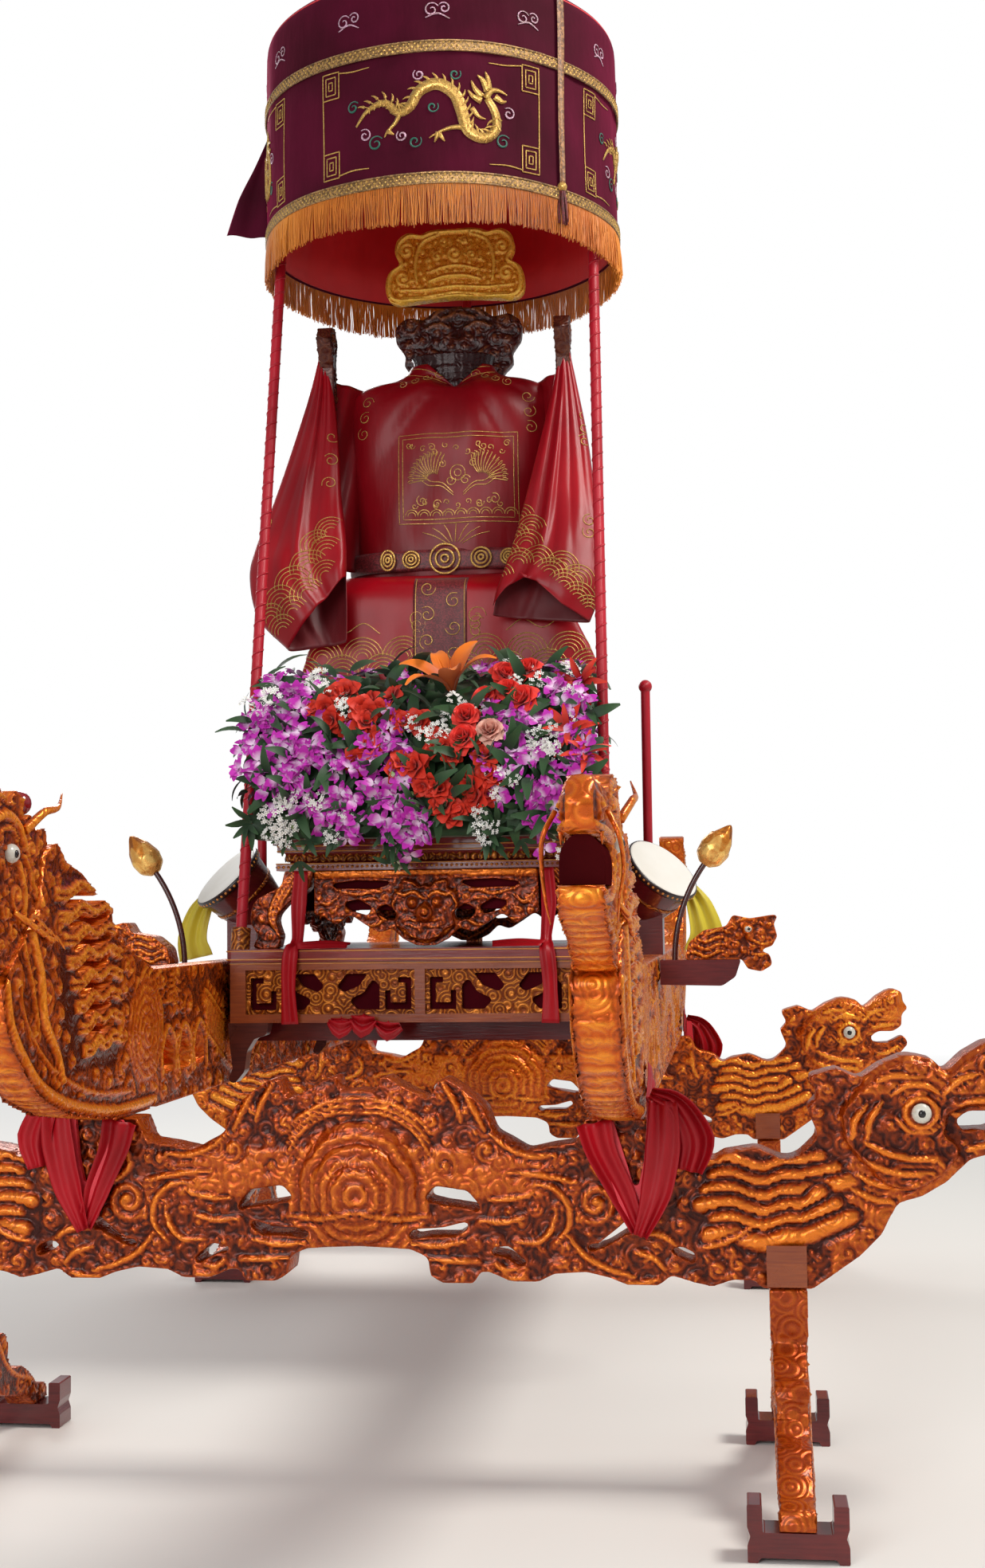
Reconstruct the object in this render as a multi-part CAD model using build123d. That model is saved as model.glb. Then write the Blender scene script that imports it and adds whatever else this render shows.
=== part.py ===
from build123d import *
import math
import os

# Carved processional palanquin: two long dragon beams lie on two double headed cross beams,
# which stand on four trestles.  A two tier table, a dressed throne and a drum canopy ride on top.
# Frame: millimetres, +Z up, the front looks along -Y, origin on the floor under the middle.

# Trestle stands
stand_x = 748.0            # centre of a stand, out from the middle
stand_h = 355.0            # floor to the seat under a cross beam
post_w = 66.0              # stand post, across
post_d = 92.0              # stand post, fore and aft
post_len = 120.0           # height of the post head
leg_w = 62.0               # width of the scrolled legs
foot_len = 156.0           # foot bar, across the object
foot_w = 62.0              # foot bar, fore and aft
foot_h = 46.0              # foot bar height under the leg
foot_toe = 88.0            # height of the turned-up toes
foot_y = 322.0             # centre of a foot bar from its cross beam

# Cross beams
cross_y = 1050.0           # cross beams fore and aft of the middle
cross_t = 92.0             # thickness of the carved plate
cross_seat = 287.0         # stand seat to the seat under the long beams
ring_step = 10.0           # each step of the raised spiral
cheek_t = 15.0             # raised cheek on both faces of a head
plate_t = 6.0              # nailed plate over each stand
eye_x = 977.0              # dragon's eye, out from the middle
nose_x = 1092.0            # curl of the dragon's nose

# Long beams
main_x = 468.0             # centre line of a long beam
main_t = 84.0              # thickness of the beam and its neck
main_h = 262.0             # depth of the carved beam between the cross beams
jaw_t = 70.0               # width of the dragon's jaws
mane_step = 38.0           # spacing of the openwork strands of the mane
mane_slot = 17.0           # height of the gaps between them

# Lower tier between the long beams
tier_x = 415.0             # half width
tier_y = 424.0             # half depth
tier_z = 130.0             # underside above the underside of the long beams
tier_h = 131.0             # height of the openwork frame
rail_w = 34.0              # corner posts of the frame
rail_h = 18.0              # top and bottom rails
panel_t = 14.0             # openwork panels
lining_t = 6.0             # dark boards behind openwork
mask_t = 12.0              # how far the beast mask stands off the apron
board_t = 27.0             # glossy board on the frame
board_lip = 6.0            # overhang of the board
joint_gap = 0.3            # between rails that butt at a corner

# Upper table
table_x = 336.0            # half width of the table top
table_y = 356.0            # half depth of the table top
table_gap = 170.0          # board to the underside of the moulded top
mould_h = 84.0             # height of the moulded top
apron_t = 20.0             # thickness of the aprons
leg_out = 58.0             # how far a curved leg swings out
leg_t = 54.0               # leg thickness

# Throne
seat_y = 136.0             # middle of the seat, towards the rear
seat_w = 520.0
seat_d = 330.0
seat_h = 356.0             # table top to the top of the seat
back_y = 252.0             # front face of the back
back_t = 42.0
crest_up = 1006.0          # seat to the top of the crest
arm_x = 288.0              # dragon knobs of the arms
arm_y = 20.0
arm_z = 856.0              # knob centre above the seat
knob_r = 30.0
arm_t = 40.0

# Robe and hat
cloth_gap = 0.4            # cloth solids lie this far off what carries them
hem_w = 730.0
hem_d = 74.0               # skirt in front of the arms, fore and aft
belt_w = 500.0
belt_d = 220.0
belt_up = 275.0            # belt above the seat
chest_w = 510.0
shoulder_up = 760.0        # shoulders above the seat
neck_up = 826.0
sleeve_t = 96.0            # hanging cuffs fore and aft
hat_w = 350.0
hat_h = 184.0
hat_d = 150.0

# Canopy
can_y = 23.0               # centre of the drum
can_r = 423.0              # radius of the drum wall
can_z = 2515.0             # hem of the fringe above the floor
can_h = 575.0              # hem to the shoulder of the drum
can_wall = 14.0
dome_h = 122.0             # rise of the shallow dome
braid_h = 26.0
braid_out = 7.0
braid_low = 92.0           # hem to the lower braid
braid_up = 392.0           # hem to the upper braid
pole_r = 12.0
pole_x = 400.0             # foot of a front pole
pole_y = -396.0
pole_hem_y = -110.0        # where a front pole passes the hem of the drum
pole_over = 24.0           # pole end above the lower braid
rear_pole_y = 404.0
socket_r = 21.0
socket_h = 46.0

# Side bars with their lotus buds, drums and posts
bar_y = -344.0
bar_t = 84.0
bar_end = 752.0
lotus_x = 612.0
lotus_z = 1137.0
lotus_r = 33.0
stem_r = 6.0
drum_r = 90.0
drum_len = 118.0
drum_taper = 11.0          # the shell narrows towards its foot, degrees
hoop_h = 15.0              # hoop that holds the skin
drum_x = 510.0             # middle of the skin
drum_y = -110.0
drum_z = 1098.0
side_post_x = 468.0
side_post_y = 64.0
side_post_top = 1525.0
side_post_r = 11.0


def outline(rows):
    """Closed face through a table of corners: a, b, corner radius."""
    n = len(rows)
    starts = []
    ends = []
    mids = []
    for i in range(n):
        px, py = rows[i - 1][0], rows[i - 1][1]
        cx, cy, r = rows[i]
        nx, ny = rows[(i + 1) % n][0], rows[(i + 1) % n][1]
        d1 = math.hypot(px - cx, py - cy)
        d2 = math.hypot(nx - cx, ny - cy)
        ux, uy = (px - cx) / d1, (py - cy) / d1
        vx, vy = (nx - cx) / d2, (ny - cy) / d2
        dot = max(-1.0, min(1.0, ux * vx + uy * vy))
        half = math.acos(dot) / 2
        if r <= 0 or half > math.radians(89):
            starts.append((cx, cy))
            mids.append(None)
            ends.append((cx, cy))
            continue
        t = min(r / math.tan(half), 0.46 * d1, 0.46 * d2)
        rr = t * math.tan(half)
        bx, by = ux + vx, uy + vy
        bl = math.hypot(bx, by)
        dist = rr / math.sin(half) - rr
        starts.append((cx + ux * t, cy + uy * t))
        mids.append((cx + bx / bl * dist, cy + by / bl * dist))
        ends.append((cx + vx * t, cy + vy * t))
    edges = []
    for i in range(n):
        if mids[i] is not None:
            edges.append(Edge.make_three_point_arc(Vector(*starts[i]), Vector(*mids[i]), Vector(*ends[i])))
        a = ends[i]
        b = starts[(i + 1) % n]
        if math.hypot(a[0] - b[0], a[1] - b[1]) > 1e-4:
            edges.append(Edge.make_line(Vector(*a), Vector(*b)))
    return Face(Wire(edges))


def slab_xz(face, y0, y1):
    """A face drawn in x, z made solid from y0 to y1."""
    plane = Plane(origin=(0, y1, 0), x_dir=(1, 0, 0), z_dir=(0, -1, 0))
    return extrude(plane * face, amount=y1 - y0, dir=plane.z_dir)


def slab_yz(face, x0, x1):
    """A face drawn in y, z made solid from x0 to x1."""
    plane = Plane(origin=(x0, 0, 0), x_dir=(0, 1, 0), z_dir=(1, 0, 0))
    return extrude(plane * face, amount=x1 - x0, dir=plane.z_dir)


def slab_xy(face, z0, z1):
    """A face drawn in x, y made solid from z0 to z1."""
    plane = Plane(origin=(0, 0, z0), x_dir=(1, 0, 0), z_dir=(0, 0, 1))
    return extrude(plane * face, amount=z1 - z0, dir=plane.z_dir)


def block(x0, x1, y0, y1, z0, z1):
    return Pos((x0 + x1) / 2, (y0 + y1) / 2, (z0 + z1) / 2) * Box(x1 - x0, y1 - y0, z1 - z0)


def shift(rows, da, db):
    return [(a + da, b + db, r) for a, b, r in rows]


def both(shape):
    return [shape, mirror(shape, about=Plane.YZ)]


def front_and_back(shape):
    return [shape, mirror(shape, about=Plane.XZ)]


def save(name, shapes):
    if not isinstance(shapes, list):
        shapes = [shapes]
    solids = []
    for s in shapes:
        solids.extend(s.solids())
    out = solids[0] if len(solids) == 1 else Compound(children=solids)
    out.label = name
    export_step(out, "parts/" + name + ".step")


os.makedirs("parts", exist_ok=True)

# Cross beams: one side of the carved outline, x and z above the stand seat, corner radius.
CROSS_HALF = [
    (0, 337, 0), (34, 333, 8), (42, 366, 10), (66, 350, 40), (128, 318, 10), (150, 362, 12),
    (190, 336, 40), (226, 306, 30), (242, 262, 25), (270, 248, 20), (300, 230, 20), (345, 240, 15),
    (388, 246, 8), (404, 287, 6), (532, 287, 6), (548, 252, 12), (600, 238, 20), (622, 214, 14),
    (642, 228, 10), (700, 238, 30), (757, 212, 40), (806, 258, 20), (786, 306, 8), (806, 326, 8),
    (788, 360, 8), (838, 374, 15), (876, 356, 12), (912, 380, 30), (955, 398, 40), (1000, 390, 30),
    (1020, 366, 10), (1054, 398, 25), (1096, 422, 30), (1126, 412, 14), (1128, 384, 8),
    (1142, 366, 6), (1124, 350, 8), (1122, 316, 10), (1098, 302, 10), (1058, 302, 8),
    (1034, 288, 8), (1046, 268, 8), (1090, 270, 10), (1128, 290, 8), (1140, 268, 10),
    (1112, 236, 20), (1058, 220, 15), (1018, 182, 20), (977, 158, 15), (936, 146, 15),
    (922, 122, 10), (908, 94, 20), (872, 58, 30), (824, 24, 30), (789, 0, 6), (705, 0, 6),
    (690, 14, 10), (655, 14, 12), (619, 2, 18), (590, 8, 15), (549, 20, 10), (528, 3, 15),
    (472, 3, 20), (445, 14, 12), (402, 24, 15), (346, 20, 20), (318, 6, 20), (270, 6, 20),
    (233, 22, 12), (216, 22, 6), (205, 2, 10), (150, 2, 16), (128, 14, 12), (124, 46, 14),
    (92, 60, 30), (0, 64, 0),
]
# Openings carved through one side of a cross beam.
CROSS_HOLES = [
    [(115, 145, 5), (137, 170, 8), (195, 162, 12), (216, 138, 8), (220, 119, 4), (202, 130, 8), (152, 137, 8)],
    [(83, 88, 4), (108, 95, 8), (152, 98, 8), (195, 109, 4), (198, 98, 4), (173, 81, 8), (123, 81, 8), (94, 76, 4)],
    [(209, 62, 3), (267, 67, 10), (290, 48, 8), (308, 31, 3), (290, 31, 4), (260, 48, 8), (209, 56, 3)],
    [(400, 71, 4), (425, 74, 8), (461, 102, 8), (476, 116, 6), (498, 92, 4), (470, 88, 8), (440, 69, 8), (410, 57, 4)],
    [(540, 65, 4), (568, 69, 6), (590, 59, 5), (594, 38, 4), (568, 48, 6)],
    [(328, 186, 3), (370, 190, 3), (368, 198, 3), (330, 196, 3)],
]
# Raised cheek, brow and jaw of a cross beam head.
HEAD_CHEEK = [
    (846, 300, 20), (880, 340, 20), (912, 368, 25), (955, 386, 35), (996, 378, 25), (1020, 350, 12),
    (1052, 384, 20), (1094, 408, 25), (1114, 400, 12), (1112, 340, 12), (1096, 314, 12),
    (1056, 314, 10), (1020, 300, 12), (1012, 262, 12), (1044, 236, 20), (1010, 196, 20),
    (966, 172, 20), (920, 176, 20), (884, 214, 20), (852, 250, 20),
]


def cross_beam(side):
    base = stand_h
    rows = CROSS_HALF + [(-a, b, r) for a, b, r in reversed(CROSS_HALF[1:-1])]
    core = slab_xz(outline(shift(rows, 0, base)), -cross_t / 2, cross_t / 2)
    for hole in CROSS_HOLES:
        cut = slab_xz(outline(shift(hole, 0, base)), -cross_t, cross_t)
        core = core - cut - mirror(cut, about=Plane.YZ)
    half_t = cross_t / 2
    for k, (r, up) in enumerate([(100, 172), (74, 164), (48, 156)]):
        reach = half_t + ring_step * (k + 1)
        disc = Pos(0, 0, base + up) * Rot(90, 0, 0) * Cylinder(r, 2 * reach)
        core = core + disc
    cheek = slab_xz(outline(shift(HEAD_CHEEK, 0, base)), -half_t - cheek_t, half_t + cheek_t)
    eye = Pos(eye_x, 0, base + 300) * Rot(90, 0, 0) * Cylinder(19, 2 * (half_t + cheek_t + 9))
    nose = Pos(nose_x, 0, base + 384) * Rot(90, 0, 0) * Cylinder(22, 2 * (half_t + cheek_t + 8))
    head = cheek + eye + nose
    core = core + head + mirror(head, about=Plane.YZ)
    return Pos(0, side * cross_y, 0) * core


save("cross_beam_front", cross_beam(-1))
save("cross_beam_rear", cross_beam(1))

# Nailed plates over the stands, on both faces of each cross beam.
plates = []
for side in (-1, 1):
    for face in (-1, 1):
        y_in = side * cross_y + face * cross_t / 2
        y_out = y_in + face * plate_t
        plates += both(block(stand_x - 36, stand_x + 32, min(y_in, y_out), max(y_in, y_out),
                             stand_h + 4, stand_h + 74))
save("nailed_plates", plates)

# Stands: a post head, two scrolled legs that swing fore and aft, and two foot bars.
LEG_OUT = [
    # fore and aft distance, height above the foot bar's top, radius
    (0, 226, 0), (40, 214, 20), (78, 190, 30), (104, 168, 20), (128, 178, 20), (150, 160, 24),
    (148, 128, 20), (172, 96, 30), (222, 92, 30), (262, 70, 24), (300, 40, 20), (350, 30, 16),
    (356, 0, 6), (286, 0, 10), (262, 22, 16), (222, 34, 24), (176, 44, 30), (130, 56, 30),
    (98, 92, 24), (84, 132, 24), (48, 156, 30), (0, 168, 0),
]
FOOT = [
    # share of half the length, height above the floor, radius
    (-1.0, 0, 3), (-0.80, 0, 3), (-0.74, 8, 6), (0.74, 8, 6), (0.80, 0, 3), (1.0, 0, 3), (1.0, 26, 6),
    (0.94, 40, 5), (1.0, 54, 5), (1.0, foot_toe, 3), (0.70, foot_toe, 3), (0.70, foot_h, 4),
    (-0.70, foot_h, 4), (-0.70, foot_toe, 3), (-1.0, foot_toe, 3), (-1.0, 54, 5), (-0.94, 40, 5), (-1.0, 26, 6),
]


def stand_frame(side):
    leg_rows = LEG_OUT + [(-a, b, r) for a, b, r in reversed(LEG_OUT[1:-1])]
    legs = slab_yz(outline(shift(leg_rows, 0, foot_h)), -leg_w / 2, leg_w / 2)
    head = slab_yz(outline([
        (-post_d / 2, stand_h, 4), (post_d / 2, stand_h, 4), (post_d / 2, stand_h - 40, 8),
        (post_d / 2 - 14, stand_h - post_len, 10), (-post_d / 2 + 14, stand_h - post_len, 10),
        (-post_d / 2, stand_h - 40, 8)]), -post_w / 2, post_w / 2)
    return Pos(stand_x, side * cross_y, 0) * (legs + head)


def stand_feet(side):
    bars = []
    for toe in (-1, 1):
        rows = [(a * foot_len / 2, b, r) for a, b, r in FOOT]
        y_mid = side * cross_y + toe * foot_y
        bar = slab_xz(outline(rows), y_mid - foot_w / 2, y_mid + foot_w / 2)
        bars.append(Pos(stand_x, 0, 0) * bar)
    return bars


for end, side in (("front", -1), ("rear", 1)):
    frame = stand_frame(side)
    save("stand_" + end + "_right", frame)
    save("stand_" + end + "_left", mirror(frame, about=Plane.YZ))
    feet = stand_feet(side)
    save("feet_" + end, [q for f in feet for q in both(f)])

# Long beams: seen from the side, y and z above the seat on the cross beams.
main_z = stand_h + cross_seat
NECK = [
    (-900, 0, 40), (-1125, 0, 60), (-1350, 30, 80), (-1483, 70, 80), (-1570, 125, 80), (-1634, 190, 60),
    (-1650, 262, 40), (-1600, 300, 30), (-1560, 330, 30), (-1500, 372, 30), (-1470, 470, 40),
    (-1420, 486, 20), (-1380, 455, 20), (-1300, 436, 30), (-1220, 400, 30), (-1150, 380, 20),
    (-1136, 330, 20), (-1050, 300, 30), (-900, 262, 40),
]
HEAD_SIDE = [
    (-1640, 268, 30), (-1700, 296, 30), (-1760, 322, 20), (-1830, 344, 20), (-1874, 370, 12),
    (-1870, 399, 10), (-1800, 388, 16), (-1716, 394, 16), (-1684, 430, 12), (-1706, 456, 12),
    (-1790, 464, 20), (-1850, 466, 10), (-1880, 474, 10), (-1884.5, 512, 16), (-1856, 541, 20),
    (-1800, 540, 24), (-1762, 526, 16), (-1716, 556, 30), (-1650, 562, 30), (-1616, 536, 8),
    (-1590, 562, 8), (-1556, 552, 8), (-1560, 512, 8), (-1526, 528, 6), (-1500, 500, 8),
    (-1462, 508, 6), (-1452, 470, 10), (-1500, 372, 30), (-1560, 300, 30),
]
TAIL = [
    (900, 0, 40), (1125, 0, 60), (1420, 60, 120), (1600, 150, 120), (1700, 270, 80), (1740, 400, 60),
    (1837.6, 430, 20), (1887.6, 500, 20), (1847.6, 560, 16), (1740, 540, 20), (1700, 600, 16),
    (1640, 590, 16), (1640, 500, 30), (1590, 470, 16), (1610, 380, 40), (1560, 290, 80),
    (1440, 220, 80), (1280, 232, 40), (1120, 262, 40), (900, main_h, 40),
]


def slabbed(rows, thick):
    return slab_yz(outline(shift(rows, 0, main_z)), main_x - thick / 2, main_x + thick / 2)


beam = slabbed([(-900, 0, 0), (900, 0, 0), (900, main_h, 0), (-900, main_h, 0)], main_t)
neck = slabbed(NECK, main_t)
for k in range(7):
    y0, y1, z = -1412 + 20 * k, -1112, 388 - mane_step * k
    span = y1 - y0
    crest = [(y0 + a * span, z + b) for a, b in ((0.18, -2), (0.36, 14), (0.56, 2), (0.78, 16))]
    rows = [(y0, z, 3)] + [(a, b - mane_slot / 2, 8) for a, b in crest] + [(y1, z + 8, 3)]
    rows = rows + [(a, b + mane_slot / 2, 8) for a, b in reversed(crest)]
    neck = neck - slabbed(rows, main_t + 2)
tail = slabbed(TAIL, main_t)
for y in (600, 706, 812):
    for side in (-1, 1):
        hole = [(side * (y - 36), 62, 10), (side * (y + 30), 58, 10), (side * (y + 38), 96, 14),
                (side * (y + 6), 138, 12), (side * (y - 30), 112, 14)]
        beam = beam - slabbed(hole if side > 0 else hole[::-1], main_t + 2)
body = beam + neck + tail
save("long_beam_right", body)
save("long_beam_left", mirror(body, about=Plane.YZ))
head = (slabbed(HEAD_SIDE, jaw_t) - body).solids().sort_by(SortBy.VOLUME)[-1]
knob = Pos(main_x, -1496, main_z + 500) * Cylinder(8, 70) + Pos(main_x, -1496, main_z + 546) * Sphere(19)
head = head + (knob - body)
save("dragon_head_right", head)
save("dragon_head_left", mirror(head, about=Plane.YZ))

# Bearers between the long beams carry the lower tier.
tier_base = main_z + tier_z
inner_x = main_x - main_t / 2
save("bearers", [block(-inner_x, inner_x, y - 32, y + 32, tier_base - 44, tier_base) for y in (-300, 0, 300)])

# Lower tier: an openwork frame with fretted panels and a board on top.
tier_top = tier_base + tier_h
win_x0, win_x1 = 11.0, tier_x - rail_w
win_y0, win_y1 = 11.0, tier_y - rail_w
win_z0, win_z1 = tier_base + rail_h, tier_top - rail_h
rails = []
posts = []
for z0, z1 in ((tier_base, win_z0), (win_z1, tier_top)):
    rails += front_and_back(block(-tier_x, tier_x, -tier_y, -win_y1, z0, z1))
    rails += both(block(win_x1, tier_x, -win_y1 + joint_gap, win_y1 - joint_gap, z0, z1))
for x0, x1, y0, y1 in ((win_x1, tier_x, -tier_y, -win_y1), (-tier_x, -win_x1, -tier_y, -win_y1),
                       (-win_x0, win_x0, -tier_y, -win_y1)):
    posts += front_and_back(block(x0, x1, y0, y1, win_z0, win_z1))
posts += both(block(win_x1, tier_x, -win_y0, win_y0, win_z0, win_z1))
save("tier_rails", rails)
save("tier_posts", posts)


def fret(width, height):
    """Openwork panel in a and b: square key frets at the ends, a leaf scroll between them."""
    m = height / 2
    face = Pos(width / 2, m) * Rectangle(width, height)
    cuts = [
        [(9, 9, 3), (66, 9, 3), (66, 50, 3), (54, 50, 2), (54, 24, 2), (22, 24, 2), (22, 66, 2), (38, 66, 2),
         (38, 78, 3), (9, 78, 3)],
        [(78, 9, 3), (126, 9, 8), (146, 30, 8), (112, 46, 10), (92, 76, 10), (78, 60, 4)],
        [(104, 86, 3), (122, 60, 10), (156, 46, 10), (172, 58, 8), (150, 86, 8)],
    ]
    for rows in cuts:
        rows = [(a * width / 370, b * height / 95, r) for a, b, r in rows]
        face = face - outline(rows)
        face = face - outline([(width - a, b, r) for a, b, r in reversed(rows)])
    return face


panels = []
linings = []
span_x = win_x1 - win_x0
span_y = win_y1 - win_y0
plane_in = (rail_w - panel_t) / 2
for s in (-1, 1):
    y_mid = s * (tier_y - rail_w / 2)
    one = slab_xz(Pos(win_x0, win_z0) * fret(span_x, win_z1 - win_z0), y_mid - panel_t / 2, y_mid + panel_t / 2)
    panels += both(one)
    x_mid = s * (tier_x - rail_w / 2)
    one = slab_yz(Pos(win_y0, win_z0) * fret(span_y, win_z1 - win_z0), x_mid - panel_t / 2, x_mid + panel_t / 2)
    panels += front_and_back(one)
    a0, a1 = sorted((y_mid - s * panel_t / 2, y_mid - s * (panel_t / 2 + lining_t)))
    linings += both(block(win_x0, win_x1, a0, a1, win_z0, win_z1))
    a0, a1 = sorted((x_mid - s * panel_t / 2, x_mid - s * (panel_t / 2 + lining_t)))
    linings += front_and_back(block(a0, a1, win_y0, win_y1, win_z0, win_z1))
save("tier_panels", panels)
save("tier_linings", linings)

board_top = tier_top + board_t
board = block(-tier_x - board_lip, tier_x + board_lip, -tier_y - board_lip, tier_y + board_lip, tier_top, board_top)
board = fillet(board.edges().filter_by(Axis.Z), 10)
save("tier_board", board)

# Curved corner legs hang below the lower tier.
TIER_LEG = [
    (-6, 0, 0), (84, 0, 4), (78, -26, 10), (52, -34, 12), (36, -60, 16), (30, -104, 16), (8, -130, 10),
    (-6, -122, 8), (4, -96, 10), (-2, -50, 16),
]
legs = []
for s in (-1, 1):
    y_edge = s * tier_y
    y0, y1 = sorted((y_edge, y_edge - s * 40))
    rows = [(inner_x - 12 - a, tier_base + b, r) for a, b, r in TIER_LEG]
    legs += both(slab_xz(outline(rows), y0, y1))
save("tier_legs", legs)

# Upper table: curved legs, carved aprons with a mask, and a moulded top.
table_base = board_top + table_gap
LEG = [
    (0, 1.0, 4), (0.10, 0.80, 20), (0.9, 0.62, 40), (1.0, 0.34, 40), (0.72, 0.16, 16), (0.98, 0.0, 8),
    (0.2, 0.0, 6), (0.12, 0.16, 16), (0.30, 0.40, 30), (-0.1, 0.60, 30), (-0.66, 0.74, 30), (-0.80, 1.0, 4),
]


def table_leg():
    rows = [(table_x - 24 + a * (leg_out + 22), board_top + b * table_gap, r) for a, b, r in LEG]
    return slab_xz(outline(rows), -table_y + 6, -table_y + 6 + leg_t)


leg = table_leg()
save("table_legs", [q for h in both(leg) for q in front_and_back(h)])

apron_x = table_x - 24 - 0.80 * (leg_out + 22) - 0.3
APRON = [
    (1.0, 0, 0), (1.0, -96, 4), (0.90, -104, 12), (0.80, -122, 14), (0.68, -96, 16), (0.55, -118, 16),
    (0.42, -138, 16), (0.30, -128, 12), (0.20, -152, 12), (0.08, -166, 10), (0, -167, 0),
]
APRON_HOLES = [
    [(0.47, -82, 8), (0.60, -64, 12), (0.76, -72, 10), (0.66, -90, 10), (0.52, -100, 6)],
    [(0.27, -112, 6), (0.40, -110, 10), (0.46, -90, 8), (0.36, -74, 12), (0.26, -90, 8)],
    [(0.24, -26, 5), (0.62, -22, 8), (0.86, -30, 6), (0.80, -40, 8), (0.44, -42, 10)],
]


MASK = [
    # the beast's face: x outward and z below the table top, corner radius
    (0, -36, 0), (13, -42, 5), (24, -28, 5), (52, -23, 6), (46, -42, 8), (66, -52, 8), (74, -80, 10), (58, -100, 10),
    (66, -124, 8), (44, -128, 8), (30, -148, 8), (0, -154, 0),
]


def apron(half):
    pts = [(a * half, table_base + b, r) for a, b, r in APRON]
    pts = pts + [(-a, b, r) for a, b, r in reversed(pts[:-1])]
    face = outline(pts)
    for hole in APRON_HOLES:
        cut = [(a * half, table_base + b, r) for a, b, r in hole]
        face = face - outline(cut) - outline([(-a, b, r) for a, b, r in reversed(cut)])
    return face


front = slab_xz(apron(apron_x), -table_y + 14, -table_y + 14 + apron_t)
mask_y = -table_y + 14
pts = [(a, table_base + b, r) for a, b, r in MASK]
mask = slab_xz(outline(pts + [(-a, b, r) for a, b, r in reversed(pts[1:-1])]), mask_y - mask_t, mask_y + 2)
mask = mask + Pos(0, mask_y - mask_t + 2, table_base - 96) * Sphere(19)
mask = mask + [Pos(a, mask_y - mask_t + 3, table_base - 72) * Sphere(12) for a in (-27, 27)]
front = front + mask
save("apron_front", front)
save("apron_rear", mirror(front, about=Plane.XZ))
side_half = table_y - 6 - leg_t - 0.3
side = slab_yz(apron(side_half), table_x - 34 - apron_t, table_x - 34)
save("aprons_side", both(side))
low = table_base - 88
backs = front_and_back(block(-apron_x, apron_x, -table_y + 14 + apron_t, -table_y + 14 + apron_t + lining_t,
                             low, table_base))
backs += both(block(table_x - 34 - apron_t - lining_t, table_x - 34 - apron_t, -side_half, side_half, low, table_base))
save("apron_backs", backs)

table_top = table_base + mould_h
top = slab_xy(Rectangle(2 * table_x - 12, 2 * table_y - 12), table_base, table_base + 16)
waist = extrude(Plane(origin=(0, 0, table_base + 16)) * Rectangle(2 * table_x - 64, 2 * table_y - 64),
                amount=24, taper=-24)
lip = slab_xy(Rectangle(2 * table_x - 16, 2 * table_y - 16), table_base + 40, table_base + 56)
cap = slab_xy(Rectangle(2 * table_x, 2 * table_y), table_base + 56, table_top)
cap = chamfer(cap.faces().sort_by(Axis.Z)[-1].edges(), 9)
save("table_top", top + waist + lip + cap)

# Throne: a panelled base, a seat board, a back with a dragon crest and two curved arms.
seat_top = table_top + seat_h
base_w, base_d = seat_w - 60, seat_d - 50
plinth = slab_xy(Pos(0, seat_y) * RectangleRounded(seat_w - 20, seat_d - 14, 8), table_top, table_top + 44)
core = slab_xy(Pos(0, seat_y) * Rectangle(base_w, base_d), table_top + 44, seat_top - 62)
cove = extrude(Plane(origin=(0, seat_y, seat_top - 62)) * Rectangle(base_w, base_d), amount=28, taper=-30)
throne_base = plinth + core + cove
for s in (-1, 1):
    x0, x1 = sorted((s * 18, s * (base_w / 2 - 24)))
    y0 = seat_y - base_d / 2
    throne_base = throne_base - block(x0, x1, y0 - 1, y0 + 12, table_top + 76, seat_top - 92)
save("throne_base", throne_base)
seat = slab_xy(Pos(0, seat_y) * RectangleRounded(seat_w + 44, seat_d + 30, 14), seat_top - 34, seat_top)
save("throne_seat", seat)

BACK = [
    (0, 0, 0), (200, 0, 4), (226, 60, 30), (214, 300, 60), (232, 560, 60), (206, 690, 40), (150, 740, 30),
    (118, 800, 30), (112, 850, 20), (140, 878, 12), (136, 906, 12), (160, 940, 20), (164, 985, 24),
    (130, 1010, 24), (90, 1000, 16), (60, 1024, 16), (0, 1032, 0),
]
rows = [(a, b * crest_up / 1032, r) for a, b, r in BACK[1:]]
rows = rows + [(-a, b, r) for a, b, r in reversed(rows[:-1])]
back = slab_xz(outline(shift(rows, 0, seat_top)), back_y, back_y + back_t)
save("throne_back", back)


ARM = [
    # y, z above the seat, radius
    (10, 0, 4), (46, 0, 4), (52, 300, 60), (66, 520, 40), (130, 580, 60), (200, 616, 60), (252, 650, 4),
    (252, 706, 4), (190, 676, 60), (110, 632, 40), (66, 640, 30), (44, 720, 60), (38, 800, 40),
    (54, 856, 24), (30, 890, 20), (-10, 884, 20), (-34, 850, 16), (-10, 820, 12), (10, 790, 16),
    (10, 300, 0),
]
rows = [(a + arm_y - 20, seat_top + b * arm_z / 856, r) for a, b, r in ARM]
arm = slab_yz(outline(rows), arm_x - arm_t / 2, arm_x + arm_t / 2)
save("throne_arms", both(arm))

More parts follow.
